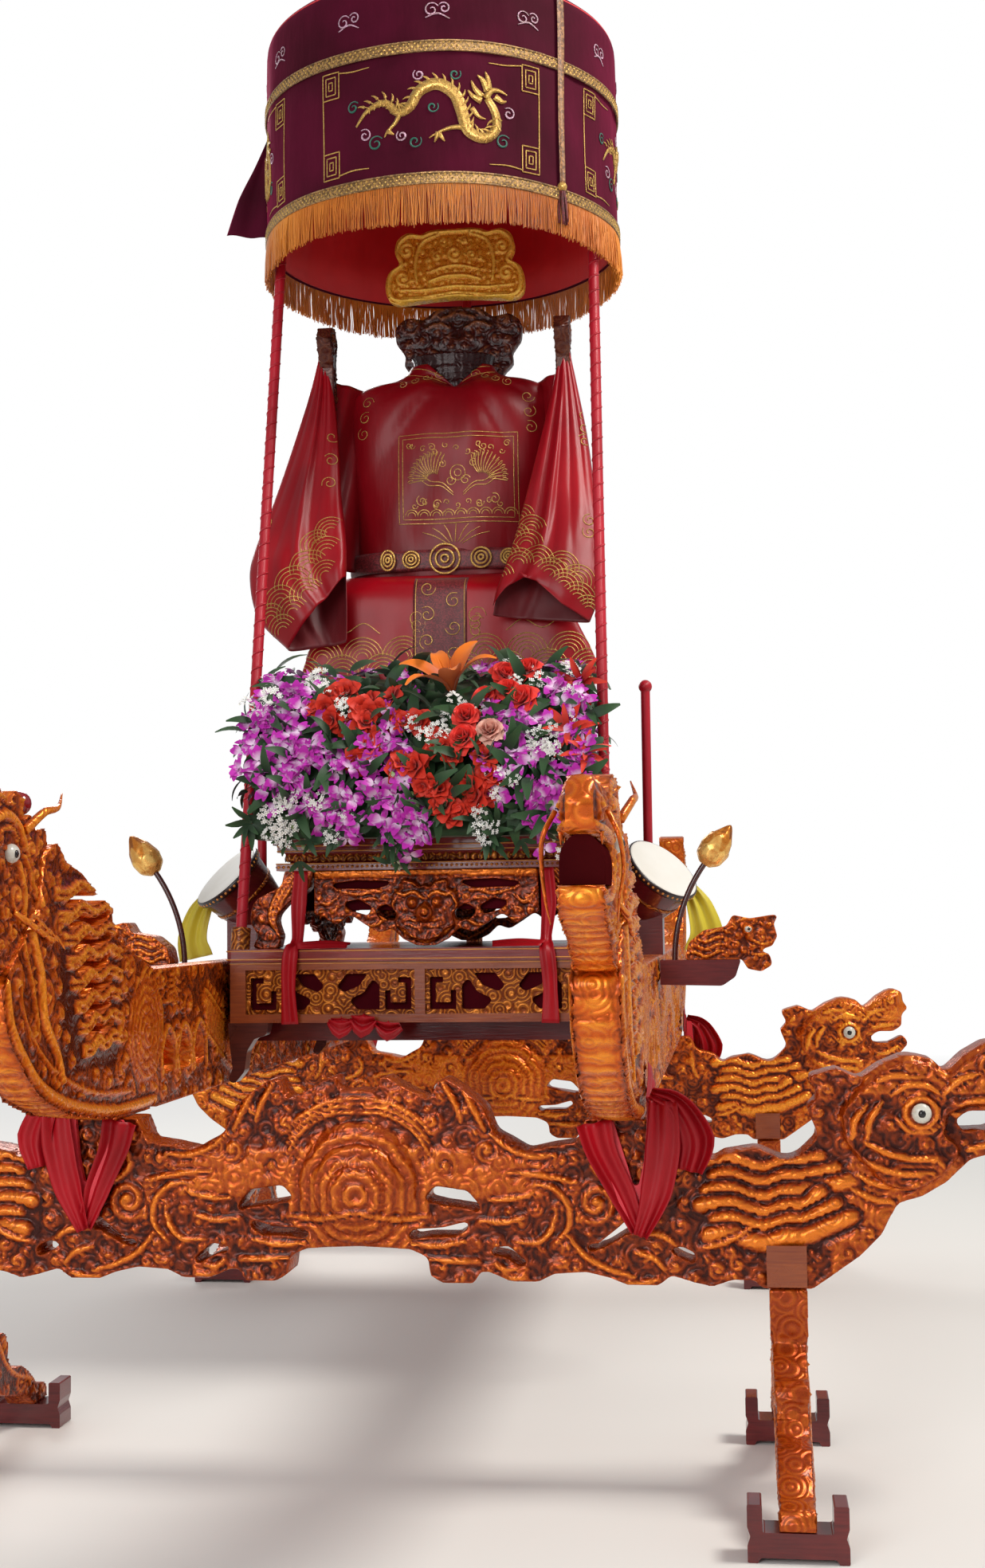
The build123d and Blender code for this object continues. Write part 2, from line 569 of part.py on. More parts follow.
# Robe: skirt, body and two hanging sleeves, as plain closed solids.
arm_front = arm_y - 10
skirt_z = seat_top + cloth_gap
belt_z = seat_top + belt_up
side_room = 2 * (arm_x - arm_t / 2 - cloth_gap)
skirt_back = arm_front - cloth_gap
save("robe_skirt", loft([
    Plane(origin=(0, skirt_back - hem_d / 2, skirt_z)) * RectangleRounded(hem_w, hem_d, 30),
    Plane(origin=(0, skirt_back - hem_d / 2, skirt_z + 150)) * RectangleRounded(hem_w - 90, hem_d, 30),
    Plane(origin=(0, skirt_back - hem_d / 2 + 6, belt_z - cloth_gap)) * RectangleRounded(belt_w - 30, hem_d - 12, 26),
], ruled=True))
chest_z = seat_top + shoulder_up
body_y = back_y - cloth_gap - belt_d / 2
save("robe_body", loft([
    Plane(origin=(0, body_y, skirt_z)) * RectangleRounded(side_room - 10, belt_d, 40),
    Plane(origin=(0, body_y, belt_z)) * RectangleRounded(belt_w, belt_d, 50),
    Plane(origin=(0, body_y, chest_z - 120)) * RectangleRounded(chest_w, belt_d - 10, 50),
    Plane(origin=(0, body_y + 5, chest_z)) * RectangleRounded(chest_w - 60, belt_d - 60, 50),
    Plane(origin=(0, body_y + 20, seat_top + neck_up)) * RectangleRounded(170, 120, 40),
], ruled=True))
SLEEVE = [
    # x outward, z above the seat, radius
    (262, 590, 30), (280, 778, 14), (308, 782, 14), (356, 690, 50), (420, 480, 80), (466, 340, 60), (440, 170, 60),
    (372, 76, 40), (240, 72, 40), (226, 160, 60), (250, 330, 80),
]
rows = [(a, seat_top + b, r) for a, b, r in SLEEVE]
cuff_y1 = skirt_back - hem_d - cloth_gap
sleeve = slab_xz(outline(rows), cuff_y1 - sleeve_t, cuff_y1)
upper = slab_xz(outline(rows), cuff_y1 - sleeve_t / 2, skirt_back) & block(0, 600, -400, 400, belt_z + 12, 4000)
sleeve = sleeve + upper
save("sleeve_right", sleeve)
save("sleeve_left", mirror(sleeve, about=Plane.YZ))

# Lobed hat on the crest of the back.
hat_z = seat_top + crest_up + cloth_gap
HAT = [
    (0.62, 0.0, 10), (0.80, 0.22, 20), (1.0, 0.46, 24), (0.94, 0.74, 24), (0.70, 0.76, 20),
    (0.52, 0.94, 20), (0.24, 0.90, 16), (0.0, 1.0, 24), (-0.24, 0.90, 16), (-0.52, 0.94, 20),
    (-0.70, 0.76, 20), (-0.94, 0.74, 24), (-1.0, 0.46, 24), (-0.80, 0.22, 20), (-0.62, 0.0, 10),
]
rows = [(a * hat_w / 2, hat_z + b * hat_h, r) for a, b, r in HAT]
hat_y = back_y + back_t / 2
save("hat", slab_xz(outline(rows), hat_y - hat_d / 2, hat_y + hat_d / 2))

# Drum canopy: a ring wall with two braids, open below, and a shallow domed roof on it.
can_top = can_z + can_h
r1 = can_r
r0 = can_r - can_wall
low0 = can_z + braid_low
up0 = can_z + braid_up
roof_z = can_top - 40
wall_rows = outline([
    (r1, roof_z, 0), (r1, up0 + braid_h, 0),
    (r1 + braid_out, up0 + braid_h - 5, 3), (r1 + braid_out, up0 + 5, 3), (r1, up0, 0), (r1, low0 + braid_h, 0),
    (r1 + braid_out, low0 + braid_h - 5, 3), (r1 + braid_out, low0 + 5, 3), (r1, low0, 0),
    (r1, can_z, 3), (r0, can_z, 3), (r0, roof_z, 0),
])
save("canopy_drum", Pos(0, can_y, 0) * revolve(Plane.XZ * wall_rows, axis=Axis.Z, revolution_arc=360))
roof_rows = outline([
    (0.001, can_top + dome_h, 0), (r1 * 0.55, can_top + dome_h * 0.78, 400), (r1 - 6, can_top + 8, 40),
    (r1, roof_z, 0), (r0, roof_z, 0), (r0 - 8, can_top - 12, 30), (0.001, can_top + dome_h - can_wall - 40, 0),
])
save("canopy_roof", Pos(0, can_y, 0) * revolve(Plane.XZ * roof_rows, axis=Axis.Z, revolution_arc=360))


def rod(a, b, r):
    a, b = Vector(*a), Vector(*b)
    return extrude(Plane(origin=a, z_dir=(b - a)) * Circle(r), amount=(b - a).length)


# Two front poles and one rear pole inside the drum wall, each in a socket on the board.
seam_z = can_z + braid_low + braid_h / 2
reach = can_r - can_wall - pole_r - 0.4
hem_x = math.sqrt(reach ** 2 - (pole_hem_y - can_y) ** 2)
top_z = seam_z + braid_h / 2 + pole_over
foot = Vector(pole_x, pole_y, board_top)
hem_pt = Vector(hem_x, pole_hem_y, can_z)
head_pt = foot + (hem_pt - foot) * ((top_z - board_top) / (can_z - board_top))
axis_dir = (head_pt - foot).normalized()
under = block(-900, 900, -900, 900, board_top - 400, board_top)
long_pole = rod(foot - axis_dir * 20, head_pt, pole_r) - under
sleeve_hole = rod(foot - axis_dir * 30, head_pt, pole_r + 0.3)
socket = rod(foot - axis_dir * 20, foot + axis_dir * socket_h, socket_r) - under - sleeve_hole
rear_top = seam_z
rear_y = can_y + can_r - can_wall - pole_r - 0.3
rear_pole = rod((0, rear_y, board_top), (0, rear_y, rear_top), pole_r)
rear_socket = rod((0, rear_y, board_top), (0, rear_y, board_top + socket_h), socket_r)
rear_socket = rear_socket - rod((0, rear_y, board_top - 1), (0, rear_y, board_top + socket_h + 1), pole_r + 0.3)
save("canopy_poles", both(long_pole) + [rear_pole])
save("pole_sockets", both(socket) + [rear_socket])

# Side bars outside the long beams, each with a dragon head, a lotus bud, a drum and a post.
outer_x = main_x + main_t / 2
beam_top = main_z + main_h
BAR = [(0, -58, 0), (130, -61, 20), (158, -42, 16), (170, -6, 4), (0, -6, 0)]
bar = slab_xz(outline([(outer_x + a, beam_top + b, r) for a, b, r in BAR]), bar_y - bar_t / 2, bar_y + bar_t / 2)
save("side_bars", both(bar))
BAR_HEAD = [
    (52, -6, 4), (172, -6, 4), (184, -26, 8), (212, -32, 12), (236, -18, 10), (230, 4, 8), (206, 12, 5),
    (236, 22, 8), (247, 42, 10), (240, 68, 8), (250, 88, 5), (230, 86, 10), (190, 80, 20), (154, 88, 8),
    (140, 64, 10), (92, 56, 20), (60, 30, 20),
]
rows = [(outer_x + a, beam_top + b, r) for a, b, r in BAR_HEAD]
head = slab_xz(outline(rows), bar_y - bar_t / 2 + 6, bar_y + bar_t / 2 - 6)
eye = Pos(outer_x + 186, bar_y, beam_top + 58) * Rot(90, 0, 0) * Cylinder(9, bar_t + 4)
save("side_bar_heads", both(head + eye))

bud_z0 = lotus_z - 36
stem_x = outer_x + 30
stem_path = Edge.make_three_point_arc(
    Vector(stem_x, bar_y, beam_top - 6), Vector((stem_x + lotus_x) / 2 - 16, bar_y, (beam_top + bud_z0) / 2 + 10),
    Vector(lotus_x - 6, bar_y, bud_z0))
stem = sweep(Plane(origin=stem_path @ 0, z_dir=stem_path % 0) * Circle(stem_r), path=stem_path)
stem = stem - block(0, 900, bar_y - 50, bar_y + 50, beam_top - 60, beam_top - 6)
save("lotus_stems", both(stem))
bud_face = outline([
    (0.001, 0, 0), (12, 0, 4), (lotus_r * 0.85, 14, 14), (lotus_r, 40, 20), (lotus_r * 0.8, 66, 20),
    (8, 96, 30), (0.001, 104, 0)])
bud = revolve(Plane.XZ * bud_face, axis=Axis.Z, revolution_arc=360)
tip = stem_path % 1
bud = Plane(origin=(stem_path @ 1) + tip * 0.3, z_dir=tip) * bud
save("lotus_buds", both(bud))

skin = Vector(drum_x, drum_y, drum_z)
face_dir = Vector(0.58, -0.43, 0.69).normalized()


def shell(r, length):
    """Drum shell that narrows away from its skin."""
    return extrude(Plane(origin=skin, z_dir=-face_dir) * Circle(r), amount=length, taper=drum_taper)


hoop = rod(skin - face_dir * hoop_h, skin, drum_r + 2.5)
save("hand_drums", both(shell(drum_r, drum_len) + hoop))
room = shell(drum_r + 0.3, drum_len + 0.3) + rod(skin - face_dir * (hoop_h + 0.3), skin + face_dir, drum_r + 2.8)
cradle = block(outer_x - 74, outer_x - 4, drum_y - 8, drum_y + 92, beam_top, drum_z - 96) - room
cradle = cradle.solids().sort_by(Axis.Z)[0]
save("drum_cradles", both(cradle))

post = rod((side_post_x, side_post_y, beam_top), (side_post_x, side_post_y, side_post_top), side_post_r)
post = post + Pos(side_post_x, side_post_y, side_post_top + 10) * Sphere(16)
save("side_posts", both(post))

# Flower bank in front of the throne, spilling over the front of the table.
bank_back = seat_y - seat_d / 2 - 20
BANK = [
    (0, 0.5, 10), (0, 336, 40), (-132, 342, 20), (-168, 372, 30), (-280, 336, 80), (-400, 250, 60), (-452, 100, 60),
    (-440, -40, 40), (-380, -84, 30), (-345, -60, 10), (-345, 0.5, 0),
]
edge_y = -table_y - cloth_gap
rows = [(bank_back + a, table_top + b, r) for a, b, r in BANK[:-2]]
rows += [(edge_y, table_top - 60, 4), (edge_y, table_top + cloth_gap, 0)]
rows[0] = (bank_back, table_top + cloth_gap, 4)
bank_w = pole_x - pole_r - 14
save("flower_bank", slab_yz(outline(rows), -bank_w, bank_w))

# Cloth ties on the outer faces where the beams cross.
TIE = [
    (-44, -2, 4), (-24, -90, 20), (6, -176, 20), (30, -196, 12), (54, -176, 20), (76, -80, 20), (68, 40, 6),
    (44, 40, 4), (44, -10, 6), (38, -70, 20), (24, -130, 8), (10, -80, 20), (-14, -2, 4),
]
ties = []
for side in (-1, 1):
    y_in = side * (cross_y + cross_t / 2 + cloth_gap)
    y0, y1 = sorted((y_in, y_in + side * 12))
    ties += both(slab_xz(outline([(main_x + a, main_z + b, r) for a, b, r in TIE]), y0, y1))
save("beam_ties", ties)
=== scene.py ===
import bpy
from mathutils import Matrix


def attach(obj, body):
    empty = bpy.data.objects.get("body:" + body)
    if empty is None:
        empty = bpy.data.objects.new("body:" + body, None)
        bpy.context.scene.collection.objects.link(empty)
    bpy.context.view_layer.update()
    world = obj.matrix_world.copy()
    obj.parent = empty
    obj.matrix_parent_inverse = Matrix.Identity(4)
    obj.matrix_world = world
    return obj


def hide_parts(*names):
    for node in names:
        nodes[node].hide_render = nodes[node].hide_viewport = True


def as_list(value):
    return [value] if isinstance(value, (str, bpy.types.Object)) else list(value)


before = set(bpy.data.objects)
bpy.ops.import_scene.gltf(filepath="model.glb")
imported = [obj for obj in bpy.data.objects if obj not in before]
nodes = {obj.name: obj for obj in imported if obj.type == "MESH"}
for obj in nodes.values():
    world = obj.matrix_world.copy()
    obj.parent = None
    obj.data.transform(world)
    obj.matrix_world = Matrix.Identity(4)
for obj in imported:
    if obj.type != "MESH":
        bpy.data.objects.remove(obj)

from types import SimpleNamespace
from math import acos, atan2, copysign, cos, exp, hypot, pi, radians, sin, sqrt, tau
import bmesh
import bpy
import numpy as np
from mathutils import Euler, Matrix, Vector, noise
from mathutils.bvhtree import BVHTree

scene = bpy.context.scene
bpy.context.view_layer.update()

# Camera: low in front of the palanquin and a little to its right, turned slightly to the left
# and up, as the photograph was taken.
yaw, pitch, roll = 0.1293, 0.068, -0.0126
ahead = Vector((-sin(yaw) * cos(pitch), cos(yaw) * cos(pitch), sin(pitch)))
right = Vector((cos(yaw), sin(yaw), 0))
up = right.cross(ahead)
cam_x = right * cos(roll) + up * sin(roll)
cam_y = up * cos(roll) - right * sin(roll)
camera_data = bpy.data.cameras.new("camera")
FOCAL_PIXELS, PHOTO_PIXELS, SENSOR_MM = 2356.8, 1968, 36
camera_data.lens = SENSOR_MM * FOCAL_PIXELS / PHOTO_PIXELS
camera_data.clip_end = 60
camera = bpy.data.objects.new("camera", camera_data)
camera.matrix_world = Matrix(((cam_x.x, cam_y.x, -ahead.x, 0.6778), (cam_x.y, cam_y.y, -ahead.y, -4.3915),
    (cam_x.z, cam_y.z, -ahead.z, 1.0045), (0, 0, 0, 1)))
scene.collection.objects.link(camera)
scene.camera = camera
scene.view_settings.view_transform = "Standard"


# Studio: a plain pale floor under a white surround, one broad soft lamp high on the right, one
# wide fill in front and a low one behind.
def made(name, verts, faces, finish=None, smooth=True):
    """A new piece from its corners and faces."""
    mesh = bpy.data.meshes.new(name)
    mesh.from_pydata([tuple(v) for v in verts], [], [tuple(f) for f in faces])
    mesh.update()
    piece = bpy.data.objects.new(name, mesh)
    scene.collection.objects.link(piece)
    if smooth:
        mesh.shade_smooth()
    if finish is not None:
        mesh.materials.append(finish)
    return piece


def node_maker(tree, family="ShaderNode"):
    """A maker of nodes: inputs by name or number take a value or a link, and one output comes back."""
    def node(kind, inputs=None, out=0, **settings):
        made_node = tree.nodes.new(family + kind)
        for key, value in settings.items():
            setattr(made_node, key, value)
        for key, value in (inputs or {}).items():
            if isinstance(value, bpy.types.NodeSocket):
                tree.links.new(value, made_node.inputs[key])
            else:
                made_node.inputs[key].default_value = value
        return made_node.outputs[out] if len(made_node.outputs) else None
    return node


def new_finish(name):
    """A node material: a maker of its nodes, and a setter of its surface that gives it back."""
    finish = bpy.data.materials.new(name)
    finish.use_nodes = True
    tree = finish.node_tree
    skin = tree.nodes["Principled BSDF"]

    def wear(**values):
        for key, value in values.items():
            socket = skin.inputs[key.replace("_", " ")]
            if isinstance(value, bpy.types.NodeSocket):
                tree.links.new(value, socket)
            else:
                socket.default_value = value
        return finish
    return node_maker(tree), wear


def spread_out(node, source, low, high, to_low=0.0, to_high=1.0):
    return node("MapRange", {0: source, 1: low, 2: high, 3: to_low, 4: to_high})


def lit(lamp_name, place, aim, size, power, tint=(1, 1, 1)):
    lamp = bpy.data.lights.new(lamp_name, "AREA")
    lamp.shape, lamp.size, lamp.energy, lamp.color = "DISK", size, power, tint
    holder = bpy.data.objects.new(lamp_name, lamp)
    holder.location = place
    holder.rotation_euler = (Vector(aim) - Vector(place)).to_track_quat("-Z", "Y").to_euler()
    scene.collection.objects.link(holder)


lit("key_lamp", (3.6, -1.2, 5.6), (0, 0, 1.5), 1.8, 250, (1.0, 0.97, 0.92))
lit("front_fill", (-1.5, -6.0, 2.6), (0, 0, 1.4), 3.2, 130)
lit("rear_lamp", (-2.5, 4.6, 4.2), (0, 0.3, 1.6), 2.6, 130)
world = bpy.data.worlds.new("surround")
scene.world = world
world.use_nodes = True
node = node_maker(world.node_tree)
light, white = node("Background", {0: (0.95, 0.97, 1.0, 1), 1: 0.45}), node("Background",
    {0: (1, 1, 1, 1), 1: 1.0})
seen = node("MixShader", {0: node("LightPath", out="Is Camera Ray"), 1: light, 2: white})
world.node_tree.links.new(seen, world.node_tree.nodes["World Output"].inputs[0])
node, wear = new_finish("pale_floor")
floor_finish = wear(Base_Color=(0.8, 0.78, 0.74, 1), Roughness=0.85)
floor_nodes = floor_finish.node_tree.nodes
far_off = node("VectorMath", {0: node("TexCoord", out="Object")}, "Value", operation="LENGTH")
white_share = node("Math", {0: spread_out(node, far_off, 3.5, 9.0),
    1: node("LightPath", out="Is Camera Ray")}, operation="MULTIPLY")
fading = node("MixShader", {0: white_share, 1: floor_nodes["Principled BSDF"].outputs[0],
    2: node("Emission")})
floor_finish.node_tree.links.new(fading, floor_nodes["Material Output"].inputs[0])
ground = made("ground", [(-14, -9, 0), (14, -9, 0), (14, 22, 0), (-14, 22, 0)], [(0, 1, 2, 3)],
    floor_finish)


# Gilt carving: wood cut in relief, laid with leaf and toned with amber lacquer, with painted shade
# in the cuts and a painted highlight on the ridges.  The stands, the cross beams and the long beams all
# have it.
def noise_at(node, place, scale, detail):
    return node("TexNoise", {"Vector": place, 2: scale, 3: detail})


def gilt(name, deep, body_tone, high, curl=26.0, bite=0.3, metal=0.5, flat=0.0):
    node, wear = new_finish(name)
    place = node("TexCoord", out="Object")
    cut = node("Attribute", out="Fac", attribute_name="cut")
    grain = noise_at(node, place, 9.0, 4.0)
    fine = noise_at(node, place, 140.0, 3.0)
    cells = node("TexVoronoi", {"Vector": place, 2: curl})
    wave = node("Math", {0: node("Math", {0: cells, 1: 26.0}, operation="MULTIPLY")}, operation="SINE")
    ripple = spread_out(node, wave, -1.0, 1.0)
    level = node("Math", {0: ripple, 1: 0.14 + 0.4 * flat, 2: cut}, operation="MULTIPLY_ADD")
    vary = node("Math", {0: grain, 1: 0.3, 2: -0.16 + 0.4 * flat}, operation="MULTIPLY_ADD")
    # Painted shade and highlight: the depth mark sets the colour, from the deep tone in the cuts to the
    # high tone on the ridges.
    tones = node("ValToRGB", {0: node("Math", {0: level, 1: vary}, operation="ADD")})
    ramp = tones.node.color_ramp
    ramp.elements[0].position, ramp.elements[0].color = 0.1, (*deep, 1)
    ramp.elements[1].position, ramp.elements[1].color = 1.0, (*high, 1)
    ramp.elements.new(0.5).color = (*body_tone, 1)
    dents = node("Math", {0: fine, 1: 0.25, 2: ripple}, operation="MULTIPLY_ADD")
    return wear(Base_Color=tones, Roughness=spread_out(node, fine, 0.3, 0.7, 0.2, 0.38), Metallic=metal,
        Coat_Weight=0.2, Coat_Roughness=0.15, Specular_IOR_Level=0.25,
        Normal=node("Bump", {"Height": dents, "Strength": bite, "Distance": 0.004}))


# Two copies of one gilt: the first darkened as painted shade, for the stands, the front beam and the table;
# the second brightened as painted sunlight, for the rear beam, the long beams and the heads.
amber_gilt = gilt("amber_gilt", (0.042, 0.004, 0.001), (0.36, 0.046, 0.003), (0.86, 0.215, 0.016))
orange_gilt = gilt("orange_gilt", (0.08, 0.008, 0.001), (0.6, 0.095, 0.004), (1.0, 0.34, 0.025))
flat_gilt = gilt("flat_gilt", (0.02, 0.003, 0.001), (0.24, 0.048, 0.004), (0.66, 0.22, 0.025), 34.0, 0.6,
    0.5, 1.0)


# Carving boards: each carved face is drawn first as a height map in millimetres, with scrolls,
# ridges, ringed swirls and scales, and then cut into a fine copy of the CAD plate.
STEP = 2.0


def board_of(width, height, origin=(0, 0)):
    """A blank board: corner of its first cell, cell centres, height and what is already cut."""
    nu, nv = int(width / STEP) + 1, int(height / STEP) + 1
    u = origin[0] + STEP * np.arange(nu)[:, None] + np.zeros((1, nv))
    v = origin[1] + STEP * np.arange(nv)[None, :] + np.zeros((nu, 1))
    return SimpleNamespace(lo=origin, u=u, v=v, h=np.zeros((nu, nv)), taken=np.zeros((nu, nv)))


def near(board, u, v, reach):
    """The window of a board within reach of a point."""
    i0 = max(0, int((u - reach - board.lo[0]) / STEP))
    j0 = max(0, int((v - reach - board.lo[1]) / STEP))
    i1 = max(i0, int((u + reach - board.lo[0]) / STEP) + 2)
    j1 = max(j0, int((v + reach - board.lo[1]) / STEP) + 2)
    return slice(i0, i1), slice(j0, j1)


def scroll(board, u, v, r, turns, turn=1, start=0.0, rise=1.0):
    """A rolled cloud scroll: one ridge that winds in to a boss."""
    window = near(board, u, v, r)
    du, dv = board.u[window] - u, board.v[window] - v
    d = np.hypot(du, dv) / r
    phase = d * turns - turn * (np.arctan2(dv, du) - start) / tau
    swell = 0.5 - 0.5 * np.cos(tau * phase)
    swell = swell ** 0.8 * (0.62 + 0.38 * (1 - d)) + 0.55 * np.exp(-(d / 0.2) ** 2)
    inside = np.clip((1 - d) * r / 3.5, 0, 1)
    top = rise * swell * np.minimum(inside + 0.05, 1)
    board.h[window] = np.where(inside > 0, top, board.h[window])
    board.taken[window] = np.maximum(board.taken[window], inside)


def soft_place(rows, k, t):
    """A place on the soft curve through some rows, between row k and the next."""
    a, b, c, d = np.vstack([2 * rows[0] - rows[1], rows, 2 * rows[-1] - rows[-2]])[k:k + 4]
    return 0.5 * (2 * b + (c - a) * t + (2 * a - 5 * b + 4 * c - d) * t ** 2
        + (3 * b - a - 3 * c + d) * t ** 3)


def smooth_line(points, step=6.0):
    """Points along a soft curve through a table of points."""
    pts = np.array(points, float)
    if len(pts) < 3:
        n = max(2, int(np.linalg.norm(pts[-1] - pts[0]) / step))
        return pts[0] + (pts[-1] - pts[0]) * np.linspace(0, 1, n)[:, None]
    out = []
    for k in range(len(pts) - 1):
        n = max(2, int(np.linalg.norm(pts[k + 1] - pts[k]) / step))
        out.append(soft_place(pts, k, np.linspace(0, 1, n, endpoint=False)[:, None]))
    return np.vstack(out + [pts[-1:]])


def ridge(board, points, width, rise=1.0, groove=0.0, taper=0.35):
    """A rounded ridge along a soft line, narrower at its ends, with a cut beside it."""
    line = smooth_line(points)
    share = np.linspace(0, 1, len(line))
    half = 0.5 * width * (taper + (1 - taper) * np.sin(pi * np.clip(share * 0.9 + 0.05, 0, 1)) ** 0.6)
    for (a, b), w in zip(line, half):
        window = near(board, a, b, w * 1.7)
        d = np.hypot(board.u[window] - a, board.v[window] - b) / w
        top = rise * np.sqrt(np.clip(1 - d ** 2, 0, 1))
        old, mark = board.h[window], board.taken[window]
        fresh = np.where(d < 1, np.maximum(top, np.where(mark > 1.5, old, 0)), old)
        board.h[window] = np.where((d >= 1) & (d < 1.5) & (mark < 1.5), groove * rise * 0.4, fresh)
        board.taken[window] = np.where(d < 1, 2.0, np.maximum(mark, (d < 1.5) * 1.0))
    board.taken[board.taken > 1.5] = 1.0


def scrolls(board, rows):
    for row in rows:
        scroll(board, *row)


def ridges(board, lines, *same, **more):
    for line in lines:
        ridge(board, line, *same, **more)


def fill(board, seed, small, large, rise=0.8, tries=2600):
    """Close packed scrolls over what is left of a board."""
    rng = np.random.default_rng(seed)
    put = []
    lo_u, lo_v = board.lo
    wide, high = board.u.max() - lo_u, board.v.max() - lo_v
    for k in range(tries):
        r = large - (large - small) * min(1, 1.4 * k / tries)
        u, v = lo_u + rng.random() * wide, lo_v + rng.random() * high
        i, j = int((u - lo_u) / STEP), int((v - lo_v) / STEP)
        if board.taken[i, j] > 0.4:
            continue
        if any((u - a) ** 2 + (v - b) ** 2 < (0.93 * (r + q)) ** 2 for a, b, q in put):
            continue
        put.append((u, v, r))
    field = board.taken.copy()
    kept = board.h.copy()
    for u, v, r in put:
        scroll(board, u, v, r, 1.4 + rng.random() * 0.6, rng.choice((-1, 1)), rng.random() * 6.3, rise)
    loose = np.sin(board.u * 0.19 + 3 * np.sin(board.v * 0.045)) * np.sin(board.v * 0.23 + 2)
    blank = board.taken < 0.02
    board.h = np.where(field > 0.5, kept, np.where(blank, rise * 0.32 * (0.5 + 0.5 * loose), board.h))


def read(board, u, v):
    """Height of a board at many places, between its cells."""
    h = board.h
    a = np.clip((u - board.lo[0]) / STEP, 0, h.shape[0] - 1.001)
    b = np.clip((v - board.lo[1]) / STEP, 0, h.shape[1] - 1.001)
    i, j = a.astype(int), b.astype(int)
    fa, fb = a - i, b - j
    here, there = h[i, j] * (1 - fb) + h[i, j + 1] * fb, h[i + 1, j] * (1 - fb) + h[i + 1, j + 1] * fb
    return here * (1 - fa) + there * fa


def applied(piece):
    """A piece with its modifiers made real."""
    view = bpy.context.evaluated_depsgraph_get()
    piece.data = bpy.data.meshes.new_from_object(piece.evaluated_get(view))
    piece.modifiers.clear()
    piece.data.name = piece.name
    piece.data.shade_smooth()
    return piece


def fine_copy(name, source, cell):
    """One closed copy of a mesh, with small even faces."""
    gathered = bmesh.new()
    gathered.from_mesh(source)
    bmesh.ops.remove_doubles(gathered, verts=gathered.verts, dist=1e-5)
    piece = made(name, [], [])
    gathered.to_mesh(piece.data)
    gathered.free()
    remesh = piece.modifiers.new("even", "REMESH")
    remesh.mode, remesh.voxel_size, remesh.use_smooth_shade = "VOXEL", cell, True
    return applied(piece)


def corners_of(mesh):
    """Places and normals of the corners of a mesh."""
    co, no = np.zeros(len(mesh.vertices) * 3), np.zeros(len(mesh.vertices) * 3)
    mesh.vertices.foreach_get("co", co)
    mesh.vertices.foreach_get("normal", no)
    return co.reshape(-1, 3), no.reshape(-1, 3)


def move_corners(mesh, co):
    mesh.vertices.foreach_set("co", co.ravel())
    mesh.update()


def marked(mesh, label, values):
    """Keeps one number per corner, for the materials."""
    mesh.attributes.new(label, "FLOAT", "POINT").data.foreach_set("value", np.array(values, np.float32))


def carve(piece, axis, read_height, deep, proud=0.0, rim=0.5):
    """Cuts a height map into both faces of a plate that faces along axis, and marks the depth."""
    # The depth mark is what the gilt finishes paint as shade in the cuts and highlight on the ridges; side
    # faces get a middle mark.
    co, no = corners_of(piece.data)
    h = np.clip(read_height(co * 1000), 0, 1.3)
    face = np.clip((np.abs(no[:, axis]) - 0.55) / 0.35, 0, 1)
    co[:, axis] += np.sign(no[:, axis]) * face * (h * (deep + proud) - deep) / 1000
    move_corners(piece.data, co)
    marked(piece.data, "cut", face * h + (1 - face) * rim)


def painted(mesh, finish):
    mesh.materials.clear()
    mesh.materials.append(finish)


def finished(piece, finish, slot, stands_for=()):
    """Gives a piece its material and puts it in the place of CAD nodes; the slot is not used."""
    painted(piece.data, finish)
    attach(piece, "root")
    if stands_for:
        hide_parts(*stands_for)
    return piece


def thinned(piece, share, finish, slot, node_name):
    """Keeps a share of the faces, with the depth marks, and finishes the piece."""
    piece.modifiers.new("fewer", "DECIMATE").ratio = share
    return finished(applied(piece), finish, slot, [node_name])


def carved(name, node_name, cell, axis, read_height, depths, share, finish, slot="gilt_carving"):
    """A CAD node carved on its faces and put in its place."""
    piece = fine_copy(name, nodes[node_name].data, cell)
    carve(piece, axis, read_height, *depths)
    return thinned(piece, share, finish, slot, node_name)


def height_of(board, axis, z, mirror=False):
    """Reads a board at the places of a piece, along axis and up from z."""
    return lambda p: read(board, np.abs(p[:, axis]) if mirror else p[:, axis], p[:, 2] - z)


# Stands: four trestles, each with a square lacquered post head and two gilt scrolled legs on
# dark red foot bars with turned-up toes, joined by pegs.
CROSS_Y = 1050
stand_board = board_of(760, 380, (-380, 0))
for side in (-1, 1):
    for u, v, r, turns in ((128, 198, 30, 1.8), (216, 112, 34, 1.9), (300, 88, 26, 1.6), (330, 64, 22, 1.5),
            (62, 232, 24, 1.5), (180, 150, 22, 1.4), (262, 96, 18, 1.3)):
        scroll(stand_board, side * u, v, r, turns, side)
    ridge(stand_board, [(side * 10, 262), (side * 70, 240), (side * 108, 200), (side * 140, 160),
        (side * 190, 128), (side * 262, 104), (side * 330, 80)], 12)
fill(stand_board, 3, 12, 20)


def stand_height(p):
    along = p[:, 1] - np.where(p[:, 1] > 0, CROSS_Y, -CROSS_Y)
    plain = np.clip((p[:, 2] - 262) / 10, 0, 1)
    return read(stand_board, along, p[:, 2]) * (1 - plain) + 0.75 * plain


for corner in ("front_right", "front_left", "rear_right", "rear_left"):
    carved("trestle_" + corner, "stand_" + corner, 0.0055, 0, stand_height, (6.0,), 0.42, amber_gilt)


# Cross beams: one carved plank each, a two headed dragon with a cloud swirl in the middle, wavy
# mane strands behind each head, claws and curls below, and shut by gilding over the whole.
CROSS_Z = 355


